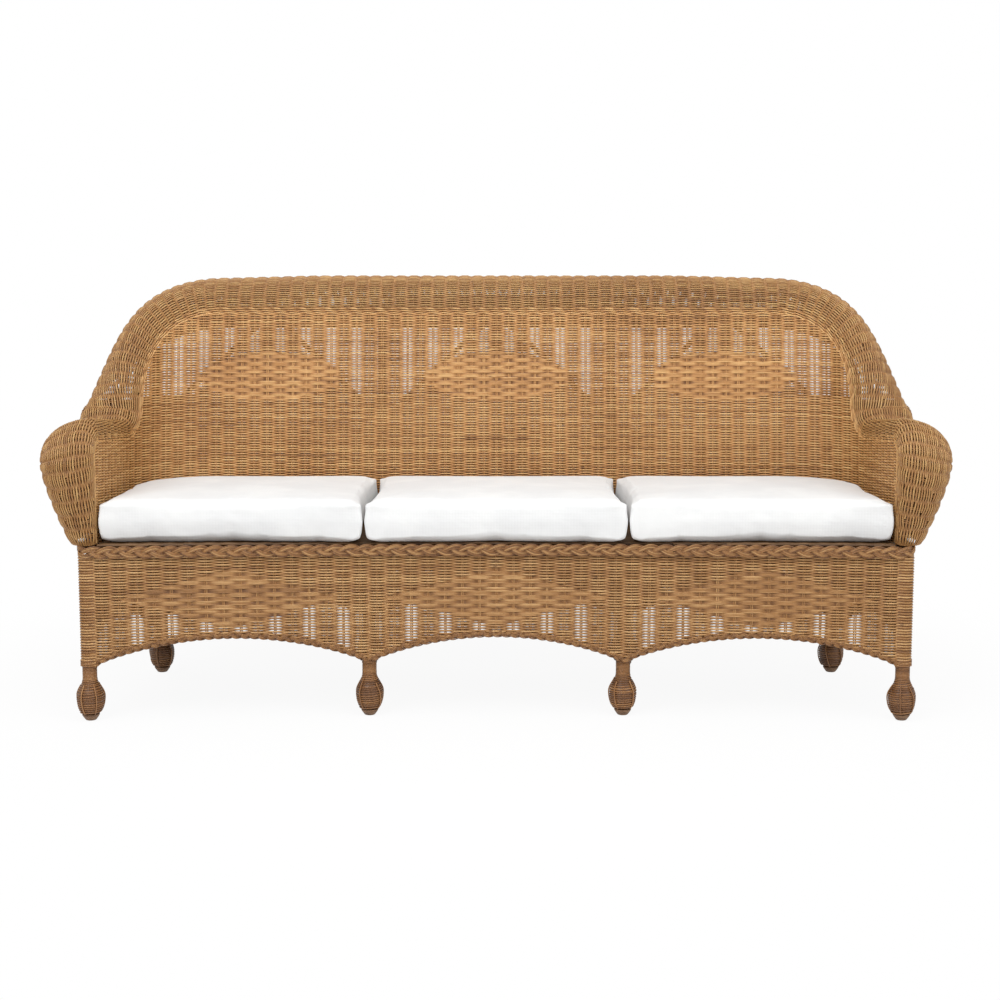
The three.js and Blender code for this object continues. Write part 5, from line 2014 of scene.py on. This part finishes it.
def lathe(
    name: str, profile: Sequence[tuple[float, float]], centre: tuple[float, float], segments: int
) -> Object:
    """Closed turned form about a vertical axis, put into the scene.

    Args:
        name: The object's name.
        profile: Radius and height from bottom to top, starting and ending on the axis.
        centre: The axis in plan.
        segments: Sides.

    Returns:
        The object.
    """
    angles = np.linspace(0, 2 * math.pi, segments, endpoint=False)
    circle = np.stack([np.cos(angles), np.sin(angles)], 1)
    rings = [at_height(r * circle, z) for r, z in profile[1:-1]]
    shift = np.array([*centre, 0.0])
    points = np.concatenate([[[0, 0, profile[0][1]]], *rings, [[0, 0, profile[-1][1]]]]) + shift
    count = len(rings)
    faces: list[tuple[int, ...]] = []
    for j in range(segments):
        k = (j + 1) % segments
        faces.append((0, 1 + k, 1 + j))
        for r in range(count - 1):
            a = 1 + r * segments
            b = a + segments
            faces.append((a + j, a + k, b + k, b + j))
        top = 1 + (count - 1) * segments
        faces.append((top + j, top + k, len(points) - 1))
    mesh = bpy.data.meshes.new(name)
    mesh.from_pydata(points.tolist(), [], faces)
    mesh.shade_smooth()
    mesh.update()
    return place(name, mesh)


@dataclass
class Foot:
    """One leg: a core wound with cane, loose upright reeds over its ball, and a turned disc.

    Collars are given by their height, turns and radius, the disc by its radii and heights.
    """

    shop: Workshop
    name: str
    x: float
    y: float
    seed: int
    ball_low: float = 0.0155
    ball_high: float = 0.106
    ball_middle: float = 0.056
    neck: float = 0.0150
    ball: float = 0.0305
    cane: float = 0.0017
    wider: float = 0.55
    top: float = 0.3795
    core_foot: float = 0.0165
    flare: float = 2.6
    loose_from: float = 0.03
    wound: tuple[float, float] = (0.0175, 0.16)
    packing: float = 0.97
    turn_points: int = 14
    tilt: float = 0.0024
    cage_top: float = 0.086
    cage_reed: float = 0.0016
    cage_uneven: tuple[float, float] = (-0.006, 0.004)
    cage_count: int = 5
    cage_sway: float = 0.45
    cage_off: float = 0.0022
    cage_bow: float = 0.0014
    low_collar: Place = (0.0172, 1.6, 0.0200)
    high_collar: Place = (0.1290, 4.2, 0.0197)
    collar_pitch: float = 0.0040
    disc: tuple[tuple[float, float], ...] = (
        (0.0, 0.0),
        (0.0112, 0.0),
        (0.0124, 0.0006),
        (0.0135, 0.0020),
        (0.0182, 0.0085),
        (0.0202, 0.0120),
        (0.0203, 0.0138),
        (0.0195, 0.0149),
        (0.0, 0.0150),
    )

    def core_radius(self, z: Array) -> Array:
        """Radius of the core under the windings at each height.

        Args:
            z: Heights.

        Returns:
            Radii.
        """
        z = np.asarray(z, float)
        below = np.clip((self.ball_middle - z) / (self.ball_middle - self.ball_low), 0, 1)
        above = np.clip((z - self.ball_middle) / (self.ball_high - self.ball_middle), 0, 1)
        low = mix(self.core_foot, self.ball, np.sqrt(1 - below**2))
        high = mix(self.neck, self.ball, np.cos(above * QUARTER) ** self.flare)
        return np.where(z < self.ball_middle, low, high)

    def around(self, radius: Array, angle: Array, z: Array) -> Array:
        """Points about the leg's axis."""
        radius, angle, z = np.broadcast_arrays(radius, angle, z)
        return np.stack([self.x + radius * np.cos(angle), self.y + radius * np.sin(angle), z], 1)

    def windings(self) -> Strands:
        """Cane wound round the core, loosely over the ball, with painted shade over the ball.

        Returns:
            The strands.
        """
        chance = np.random.default_rng(self.seed)
        heights = np.linspace(*self.wound, 400)
        wide = 1 + self.wider * np.clip((self.ball_high - heights) / self.loose_from, 0, 1)
        turns = np.cumsum(1 / wide) * (heights[1] - heights[0]) / (2 * self.cane * self.packing)
        angle = np.arange(0, turns[-1] * 2 * math.pi, 2 * math.pi / self.turn_points)
        z = np.interp(angle, turns * 2 * math.pi, heights)
        count = int(turns[-1]) + 2
        slant = np.interp(angle / (2 * math.pi), np.arange(count), chance.uniform(-1, 1, count))
        on_ball = np.clip((self.ball_high - z) / self.loose_from, 0, 1)
        tilt = self.tilt * slant * on_ball * np.sin(angle + slant)
        radius = self.core_radius(z) + self.cane * (0.45 + 0.35 * np.abs(slant) * on_ball)
        # Painted shade over the ball, where the loose windings stand apart, less where a turn slants out.
        relief = (0.5 * slant - 0.4) * on_ball
        tones = np.clip(chance.normal(0.45, 0.16, 15), 0, 1)
        tone = np.interp(z, np.linspace(*self.wound, 15), tones)
        strands = Strands()
        strands.add(self.around(radius, angle, z + tilt), tone, 1 + self.wider * on_ball, relief)
        return strands

    def cage(self) -> Strands:
        """Loose upright and slanting reeds over the ball.

        Returns:
            The strands.
        """
        chance = np.random.default_rng(self.seed + 1)
        strands = Strands()
        t = np.linspace(0, 1, 13)
        for k in range(self.cage_count):
            angle = 2 * math.pi * (k + chance.uniform(-0.2, 0.2)) / self.cage_count + 0.5
            sway = chance.uniform(-self.cage_sway, self.cage_sway)
            z = mix(self.wound[0], self.cage_top + chance.uniform(*self.cage_uneven), t)
            radius = self.core_radius(z) + self.cage_off + self.cage_bow * np.sin(math.pi * t)
            tone = float(np.clip(chance.normal(0.42, 0.15), 0, 1))
            strands.add(self.around(radius, angle + sway * (t - 0.4), z), tone)
        return strands

    def ties(self) -> Strands:
        """Windings over the ends of the loose reeds and, where a skirt ends, under its border.

        Returns:
            The strands.
        """
        collars = [self.low_collar]
        if "front_outer" in self.name:
            collars.append(self.high_collar)
        strands = Strands()
        for low, turns, radius in collars:
            angle = np.arange(0, turns * 2 * math.pi, 2 * math.pi / 16)
            height = low + self.collar_pitch * angle / (2 * math.pi)
            strands.add(self.around(radius, angle, height), 0.45)
        return strands

    def turned(
        self, name: str, profile: Sequence[tuple[float, float]], sides: int, slot: str, node: str
    ) -> None:
        """Makes a turned piece about the leg's axis.

        Args:
            name: The piece's name.
            profile: Radii and heights of its outline.
            sides: How many sides it has.
            slot: Its material's slot.
            node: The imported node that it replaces.
        """
        piece = lathe(name, profile, (self.x, self.y), sides)
        piece.data.materials.append(self.shop.disc if slot == "foot_disc" else self.shop.pole)
        settle(piece, "frame", (node,))

    def build(self) -> None:
        """Makes the leg's pieces."""
        heights = np.concatenate([np.linspace(self.ball_low, self.ball_high, 24), [0.127, self.top]])
        rings = zip(self.core_radius(heights).tolist(), heights.tolist())
        leg = f"{self.name}_leg"
        self.turned(f"{leg}_core", [(0.0, self.ball_low), *rings, (0.0, self.top)], 20, "pole", leg)
        cage = self.cage()
        cage.extend(self.ties())
        parts = (("winding", self.windings(), self.cane), ("cage", cage, self.cage_reed))
        for part, strands, reed in parts:
            self.shop.reeds(f"{leg}_{part}", strands, reed, 6, self.shop.cane, "cane_wrap", leg)
        self.turned(f"{self.name}_foot_disc", self.disc, 36, "foot_disc", f"{self.name}_glide")


@dataclass
class Poles:
    """Rattan poles: seat rails, bearers, posts, braces and the rails in the border."""

    shop: Workshop
    sides: int = 12
    knot_gap: float = 0.24
    knot_width: float = 0.0035
    knot_shade: float = 0.0040
    knot_samples: tuple[float, ...] = (-0.006, -0.002, 0.0, 0.002, 0.006)
    swelling: float = 0.035
    step: float = 0.016
    side_rail_gaps: tuple[float, float] = (0.016, 0.004)
    bearer_gaps: tuple[float, float] = (0.015, 0.0145)
    back_post_ends: tuple[float, float] = (0.4107, 0.9315)
    corner_post_foot: float = 0.4103
    arm_post_ends: tuple[float, float] = (0.4165, 0.644)
    outer_rail_inset: float = 0.0108
    brace_gap: float = 0.0006
    seat_rail: float = 0.014
    bearer: float = 0.0135
    post: float = 0.0125
    arm_rail: float = 0.010
    brace_radius: float = 0.007
    behind: float = 0.0049
    back_post: float = 0.303
    corner_gap: float = 0.0098
    arm_rail_height: float = 0.616
    arm_rail_length: float = 0.260
    roll_rail_share: float = 0.885
    roll_rail_depth: float = 0.0161
    brace_foot: float = 0.655
    fit: float = 0.0004
    brace_bend: float = 0.020
    under_trim: float = 0.020

    def pole(self, points: Array, seed: int) -> Strands:
        """One pole with swollen joints along it.

        Args:
            points: Its path.
            seed: Seed of its joints and tone.

        Returns:
            Its strand.
        """
        chance = np.random.default_rng(seed)
        run = distances(points)
        knots = np.arange(chance.uniform(0.05, self.knot_gap), run[-1], self.knot_gap)
        extra = np.concatenate([knots + beside for beside in self.knot_samples])
        extra = extra[(extra > 0) & (extra < run[-1])]
        at = np.unique(np.concatenate([np.arange(0, run[-1], self.step), [run[-1]], extra]))
        near = np.min(np.abs(at[:, None] - knots[None, :]), axis=1, initial=1.0)
        girth = 1 - self.swelling + self.swelling * np.exp(-((near / self.knot_width) ** 2))
        darker = 0.35 * np.exp(-((near / self.knot_shade) ** 2))
        strands = Strands()
        strands.add(resampled(at, run, points), np.clip(chance.normal(0.5, 0.1) - darker, 0, 1), girth)
        return strands

    def make(self, node: str, points: Array, radius: float, seed: int) -> None:
        """Makes one pole in place of its solid."""
        strands = self.pole(np.asarray(points, float), seed)
        self.shop.reeds(f"{node}_pole", strands, radius, self.sides, self.shop.pole, "pole", node)

    def base(self) -> None:
        """The seat frame."""
        inset, z = BASE.rail_inset, BASE.rail_height
        side_x = BASE.half - inset
        xs = np.linspace(-side_x, side_x, 60)
        front = np.stack([xs, BASE.front_line(xs, inset), np.full(60, z)], 1)
        rear = BASE.side_line(np.linspace(BASE.side_end, BASE.half_round, 80), inset)
        ahead, behind = self.side_rail_gaps
        start = float(BASE.front_line(side_x, inset)) + ahead - BASE.side_front
        runs = np.linspace(start, BASE.side_end - behind, 50)
        side = at_height(BASE.side_line(runs, inset), z)
        x = -BASE.inner_leg
        ahead, behind = self.bearer_gaps
        low = float(BASE.front_line(BASE.inner_leg, inset)) + ahead
        high = BASE.rear_y - inset - behind
        bearer = np.array([[x, low, z], [x, high, z]])
        poles = (
            ("front_seat_rail", front, self.seat_rail),
            ("rear_seat_rail", both_halves(at_height(rear, z)), self.seat_rail),
            ("left_seat_rail", side, self.seat_rail),
            ("right_seat_rail", side * MIRROR, self.seat_rail),
            ("left_seat_bearer", bearer, self.bearer),
            ("right_seat_bearer", bearer * MIRROR, self.bearer),
        )
        for i, (name, points, radius) in enumerate(poles):
            self.make(name, points, radius, Seed.RAIL + i)

    def shell(self) -> None:
        """Posts, braces and rails of the shell."""
        corner = SEAT.corner_middle
        corner_top = float(SEAT.wall_top(np.array([corner]), self.corner_gap)[0]) - self.under_trim
        arm_x = -SEAT.wall_half - self.behind - self.post
        arm_y = SEAT.arm_front + SEAT.trim_front_radius + self.post
        rail_x = -SEAT.wall_half - SEAT.arm_width + self.behind + self.outer_rail_inset
        rail_y = SEAT.arm_front + SEAT.edge_setback + SEAT.shoulder_run
        rail_z = self.arm_rail_height
        outer_rail = np.array([[rail_x, rail_y, rail_z], [rail_x, rail_y + self.arm_rail_length, rail_z]])
        stations = np.concatenate([np.linspace(2, 3, 12), np.linspace(3.05, 3.92, 16)])
        along, z = SEAT.trim_line(stations)
        left_side = (
            ("back_post", self.upright(self.back_post, *self.back_post_ends), self.post),
            ("corner_post", self.upright(corner, self.corner_post_foot, corner_top), self.post),
            ("front_arm_post", np.array([[arm_x, arm_y, z] for z in self.arm_post_ends]), self.post),
            ("outer_arm_rail", outer_rail, self.arm_rail),
            ("inner_arm_rail", SEAT.wall(along, z, RAIL_DEPTH), self.arm_rail),
        )
        for side, flip, seed in (("left", 1.0, Seed.POST), ("right", MIRROR, Seed.POST + 4)):
            for i, (name, points, radius) in enumerate(left_side):
                self.make(f"{side}_{name}", points * flip, radius, seed + i)
        posts = (corner, self.back_post, -self.back_post, -corner)
        for i, side in enumerate(("left", "center", "right")):
            points = self.brace(posts[i], posts[i + 1])
            self.make(f"{side}_back_brace", points, self.brace_radius, Seed.BRACE + i)
        half = np.linspace(4.04, 6, 90)
        top = SEAT.wall(*SEAT.trim_line(half), RAIL_DEPTH)
        self.make("back_top_rail", both_halves(top), self.arm_rail, Seed.BRACE + 3)
        half = np.linspace(4.3, 6, 80)
        share = np.full(80, self.roll_rail_share)
        inward = surface_normals(SEAT.roll, half, share) * self.roll_rail_depth
        rail = both_halves(SEAT.roll(half, share) - inward)
        self.make("back_roll_rail", rail, self.arm_rail, Seed.BRACE + 4)

    def upright(self, along: float, foot: float, top: float) -> Array:
        """Ends of a post behind the wall."""
        return SEAT.wall(np.array([along, along]), np.array([foot, top]), self.behind + self.post)

    def brace(self, low: float, high: float) -> Array:
        """Path of a brace bent to a point between two posts.

        Args:
            low: Where the first post is.
            high: Where the second one is.

        Returns:
            Points of the path.
        """
        ends = self.post + self.fit + self.brace_radius
        start, end = low - ends, high + ends
        apex = (start + end) / 2
        peak = SEAT.trim_top - self.under_trim
        slope = (peak - self.brace_foot) / (start - apex)
        along = np.linspace(start, end, 61)
        z = peak - slope * (np.hypot(along - apex, self.brace_bend) - self.brace_bend)
        return SEAT.wall(along, z, self.behind + self.brace_radius + self.brace_gap)

    def build(self) -> None:
        """Makes every pole."""
        self.base()
        self.shell()


@dataclass
class Deck:
    """The seat deck under the cushions: reeds woven flat over pairs of stakes, coloured dark as painted
    shade under the cushions.
    """

    shop: Workshop
    reed: float = 0.0029
    row: float = 0.0058
    stake_pitch: float = 0.045
    lift: float = 0.0010
    behind_braid: float = 0.0066
    inside_wall: float = 0.0075

    def build(self) -> None:
        """Weaves the deck between the braid and the seat wall."""
        low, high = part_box("seat_deck")
        level = (low[2] + high[2]) / 2
        bend = SEAT.corner_radius - self.inside_wall
        rear = SEAT.rear(SEAT.wall_bottom) - SEAT.corner_radius
        half = SEAT.straight + bend

        def surface(x: Array, y: Array) -> Array:
            """Points of the deck."""
            x, y = floats(x, y)
            return np.stack([x, y, np.full(x.shape, level)], axis=-1)

        def inside(x: Array, y: Array) -> Array:
            """Whether places are behind the braid and within the wall.

            Args:
                x: Places across.
                y: Places in depth.

            Returns:
                A truth for each.
            """
            turn = np.clip((np.abs(x) - SEAT.straight) / bend, 0, 1)
            edge = rear + bend * np.sqrt(1 - turn**2)
            return (y > BASE.front_line(x, self.behind_braid + self.reed)) & (y < edge - self.reed)

        count = int(half / self.stake_pitch)
        stakes = np.arange(-count, count + 1) * self.stake_pitch
        rows = np.arange(low[1] + self.reed, high[1] - self.reed, self.row)
        form = (surface, stakes, rows, inside, (-half, half), Seed.DECK)
        weave = Weave(*form, lift=self.lift, points_per_cell=2)
        wefts = weave.strands(weave.courses())
        uprights = weave.uprights((low[1], high[1]), 40)
        for part, strands, reed in (("wefts", wefts, self.reed), ("stakes", uprights, STAKE)):
            self.shop.reeds(f"seat_deck_{part}", strands, reed, 5, self.shop.splint, "splint", "seat_deck")


# Cushions.


@dataclass
class Cushion:
    """A loose box cushion, filled by cloth simulation from its solid and then squared."""

    shop: Workshop
    side: str
    voxel: float = 0.009
    shrink: float = 0.006
    pressure: float = 4.0
    frames: int = 20
    most_move: float = 0.009
    boxed: float = 0.10
    corner: float = 0.035
    squareness: float = 0.8
    edge: float = 0.020
    rim_height: float = 0.095
    front_ease: float = 0.006
    top_ease: float = 0.004
    seam_heights: tuple[float, float] = (0.009, 0.086)
    seam_reach: float = 0.012
    seam_width: float = 0.0045
    seam_depth: float = 0.0016
    off_deck: float = 0.0002
    fill: float = 0.85

    def box(self) -> tuple[Array, Array]:
        """Lowest and highest corner of the solid."""
        low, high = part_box(f"{self.side}_cushion")
        return np.array(low), np.array(high)

    def start(self) -> Object:
        """A closed copy of the solid, drawn in all round and remeshed.

        Returns:
            The copy.
        """
        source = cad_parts[f"{self.side}_cushion"]
        mesh = source.data.copy()
        mesh.transform(source.matrix_world)
        mesh.materials.clear()
        piece = place(f"{self.side}_seat_cushion", mesh)
        mesh.name = piece.name
        weld = piece.modifiers.new("weld", "WELD")
        weld.merge_threshold = 1e-5
        remesh = piece.modifiers.new("remesh", "REMESH")
        remesh.mode = "VOXEL"
        remesh.voxel_size = self.voxel
        remesh.use_smooth_shade = True
        self.apply(piece)
        self.store(piece, self.points(piece) - self.points(piece, "normal") * self.shrink)
        return piece

    @staticmethod
    def points(piece: Object, key: str = "co") -> Array:
        """Places of a piece's vertices, or their normals.

        Args:
            piece: The object.
            key: co for places, normal for normals.

        Returns:
            A row for each vertex.
        """
        values = np.empty(len(piece.data.vertices) * 3)
        piece.data.vertices.foreach_get(key, values)
        return values.reshape(-1, 3)

    @staticmethod
    def store(piece: Object, points: Array) -> None:
        """Writes vertex places back."""
        piece.data.vertices.foreach_set("co", points.ravel())
        piece.data.update()

    @staticmethod
    def apply(piece: Object) -> None:
        """Turns a piece's modifiers into its mesh.

        Args:
            piece: The object.
        """
        bpy.context.view_layer.update()
        graph = bpy.context.evaluated_depsgraph_get()
        mesh = bpy.data.meshes.new_from_object(piece.evaluated_get(graph), depsgraph=graph)
        old = piece.data
        piece.modifiers.clear()
        piece.data = mesh
        mesh.name = piece.name
        bpy.data.meshes.remove(old)

    def inflate(self, piece: Object) -> None:
        """Fills the cover by pressure and caps how far a point moves.

        Args:
            piece: The cushion's object.
        """
        before = self.points(piece)
        cloth = piece.modifiers.new("cloth", "CLOTH")
        cloth.settings.use_pressure = True
        cloth.settings.uniform_pressure_force = self.pressure
        cloth.settings.effector_weights.gravity = 0
        cloth.settings.quality = 4
        cloth.point_cache.frame_start = 1
        cloth.point_cache.frame_end = self.frames
        scene = bpy.context.scene
        for number in range(1, self.frames + 1):
            scene.frame_set(number)
        self.apply(piece)
        scene.frame_set(1)
        after = self.points(piece)
        move = (after - before) * [self.boxed, self.boxed, 1.0]
        length = np.linalg.norm(move, axis=1, keepdims=True)
        capped = move * np.minimum(1, self.most_move / np.maximum(length, 1e-9))
        self.store(piece, before + capped)

    def growth(self, beyond: Array) -> Array:
        """How far places past the start of a rounding move, from round towards square.

        Args:
            beyond: Distances past that start, by axis.

        Returns:
            The moves.
        """
        length = np.linalg.norm(beyond, axis=1)
        share = (length / np.maximum(beyond.max(axis=1), 1e-9)) ** self.squareness
        return beyond * (np.maximum(share, 1) - 1)[:, None]

    def fill_out(self, piece: Object) -> None:
        """Squares the cover's corners and edges and brings it out to the size of its solid.

        Args:
            piece: The cushion's object.
        """
        low, high = self.box()
        low[1] -= self.front_ease
        high[2] += self.top_ease
        points = self.points(piece)
        away = points - (points.min(axis=0) + points.max(axis=0)) / 2
        foot = points[:, 2].min()
        half = np.abs(away).max(axis=0)
        beyond = np.maximum(np.abs(away[:, :2]) - (half[:2] - self.corner), 0)
        away[:, :2] += np.sign(away[:, :2]) * self.growth(beyond)
        half = np.abs(away).max(axis=0)
        rim = np.maximum(np.abs(away[:, :2]) - (half[:2] - self.edge), 0)
        side = rim.max(axis=1)
        height = points[:, 2] - foot
        for sign, level in ((1, self.rim_height - self.edge), (-1, self.edge)):
            over = np.clip(sign * (height - level), 0, self.edge)
            growth = self.growth(np.stack([side, over], 1))
            share = growth[:, 0] / np.maximum(side, 1e-9)
            away[:, :2] += np.sign(away[:, :2]) * rim * share[:, None]
            away[:, 2] += sign * growth[:, 1]
        first, last = away.min(axis=0), away.max(axis=0)
        self.store(piece, low + (away - first) * (high - low) / (last - first))

    def seam(self, piece: Object) -> None:
        """Draws the cover in along the sewn edges of its top and bottom.

        Args:
            piece: The cushion's object.
        """
        low, high = self.box()
        points = self.points(piece)
        inner_x = np.minimum(points[:, 0] - low[0], high[0] - points[:, 0])
        inner_y = np.minimum(points[:, 1] - low[1], high[1] - points[:, 1])
        rim = np.minimum(inner_x, inner_y)
        for height in self.seam_heights:
            off = np.maximum(0, rim - self.seam_reach)
            gap = np.hypot(points[:, 2] - (low[2] + height), off)
            near = np.exp(-((gap / self.seam_width) ** 2))
            inward = unit(((low + high) / 2 - points) * [1, 1, 0])
            points = points + inward * (near * self.seam_depth)[:, None]
        self.store(piece, points)

    def build(self) -> None:
        """Makes the cushion and puts it on its own body."""
        piece = self.start()
        self.inflate(piece)
        self.fill_out(piece)
        self.seam(piece)
        finer = piece.modifiers.new("finer", "SUBSURF")
        finer.levels = finer.render_levels = 1
        self.apply(piece)
        self.limit(piece)
        piece.data.shade_smooth()
        piece.data.materials.clear()
        piece.data.materials.append(self.shop.fabric)
        settle(piece, f"{self.side}_seat", (f"{self.side}_cushion",))

    def limit(self, piece: Object) -> None:
        """Keeps the cushion off the deck and off its neighbours.

        Args:
            piece: The cushion's object.
        """
        low, high = self.box()
        points = self.points(piece)
        points[:, 2] = np.maximum(points[:, 2], low[2] + self.off_deck)
        points[:, 0] = np.clip(points[:, 0], low[0], high[0])
        self.store(piece, points)


# Studio.


@dataclass
class Studio:
    """Floor, lights and the camera at the photograph's place."""

    camera_place: Place = (0.009, -4.425 + DEPTH_SHIFT, 1.035)
    camera_drop: float = math.radians(7.3)
    lens: float = 62.86
    key_power: float = 84.0
    ambient: float = 0.55
    floor_reach: float = 9.0
    floor_level: float = -0.0005

    def camera(self) -> None:
        """Sets the camera."""
        data = bpy.data.cameras.new("camera")
        data.sensor_width = 36
        data.lens = self.lens
        data.clip_end = 60
        camera = bpy.data.objects.new("camera", data)
        camera.location = self.camera_place
        camera.rotation_euler = (QUARTER - self.camera_drop, 0, 0)
        bpy.context.scene.collection.objects.link(camera)
        bpy.context.scene.camera = camera

    def lamp(self, name: str, at: Place, aim: Place, size: float, power: float) -> None:
        """Adds one soft square lamp that points at a place.

        Args:
            name: The lamp's name.
            at: Where it stands.
            aim: The place it points at.
            size: Its side.
            power: Its power in watts.
        """
        data = bpy.data.lights.new(name, "AREA")
        data.size = size
        data.energy = power
        lamp = bpy.data.objects.new(name, data)
        lamp.location = at
        away = np.array(at) - np.array(aim)
        flat = math.hypot(away[0], away[1])
        lamp.rotation_euler = (math.atan2(flat, away[2]), 0, math.atan2(away[1], away[0]) + QUARTER)
        bpy.context.scene.collection.objects.link(lamp)

    def world(self) -> None:
        """Even white surroundings: strength 1 to the camera, softer as light."""
        world = bpy.data.worlds.new("studio")
        bpy.context.scene.world = world
        world.use_nodes = True
        tree = world.node_tree
        tree.nodes.clear()
        sink = tree.nodes.new("ShaderNodeOutputWorld")
        path = tree.nodes.new("ShaderNodeLightPath")
        both = tree.nodes.new("ShaderNodeMixShader")
        tree.links.new(path.outputs["Is Camera Ray"], both.inputs[0])
        for socket, strength in ((1, self.ambient), (2, 1.0)):
            shell = tree.nodes.new("ShaderNodeBackground")
            shell.inputs["Strength"].default_value = strength
            shell.inputs["Color"].default_value = (1, 1, 1, 1)
            tree.links.new(shell.outputs[0], both.inputs[socket])
        tree.links.new(both.outputs[0], sink.inputs["Surface"])

    def build(self) -> None:
        """Sets up the floor, the lamps, the surroundings and the camera."""
        self.camera()
        self.world()
        mesh = bpy.data.meshes.new("floor")
        reach = self.floor_reach
        plan = ((-reach, -reach), (reach, -reach), (reach, reach), (-reach, reach))
        mesh.from_pydata([(x, y, self.floor_level) for x, y in plan], [], [(0, 1, 2, 3)])
        floor = place("studio_floor", mesh)
        mesh.materials.append(FloorFinish().material())
        self.lamp("key", (-2.4, -3.6, 3.6), (0, 0, 0.5), 2.6, self.key_power * 0.9)
        self.lamp("fill", (3.2, -3.2, 2.4), (0, 0, 0.5), 3.0, self.key_power * 0.55)
        self.lamp("top", (0.0, -1.5, 3.6), (0, 0.1, 0.6), 3.0, self.key_power * 0.80)
        bpy.context.scene.view_settings.view_transform = "Standard"


def feet(shop: Workshop) -> None:
    """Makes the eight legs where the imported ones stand.

    Args:
        shop: The workshop that dresses them.
    """
    seed = Seed.FOOT
    for side in ("left", "right"):
        for spot in ("front_outer", "front_inner", "rear_inner", "rear_outer"):
            name = f"{side}_{spot}"
            low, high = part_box(f"{name}_leg")
            Foot(shop, name, (low[0] + high[0]) / 2, (low[1] + high[1]) / 2, seed).build()
            seed += 7


def main() -> None:
    """Builds every sub-assembly in order."""
    logging.basicConfig(level=logging.INFO, format="%(name)s %(message)s")
    Studio().build()
    shop = Workshop.open()
    for assembly in (SeatWall, RolledBorder, OuterPanels, Skirt, Trimmings, Poles, Deck):
        assembly(shop).build()
    feet(shop)
    for side in ("left", "center", "right"):
        Cushion(shop, side).build()


if __name__ == "__main__":
    main()
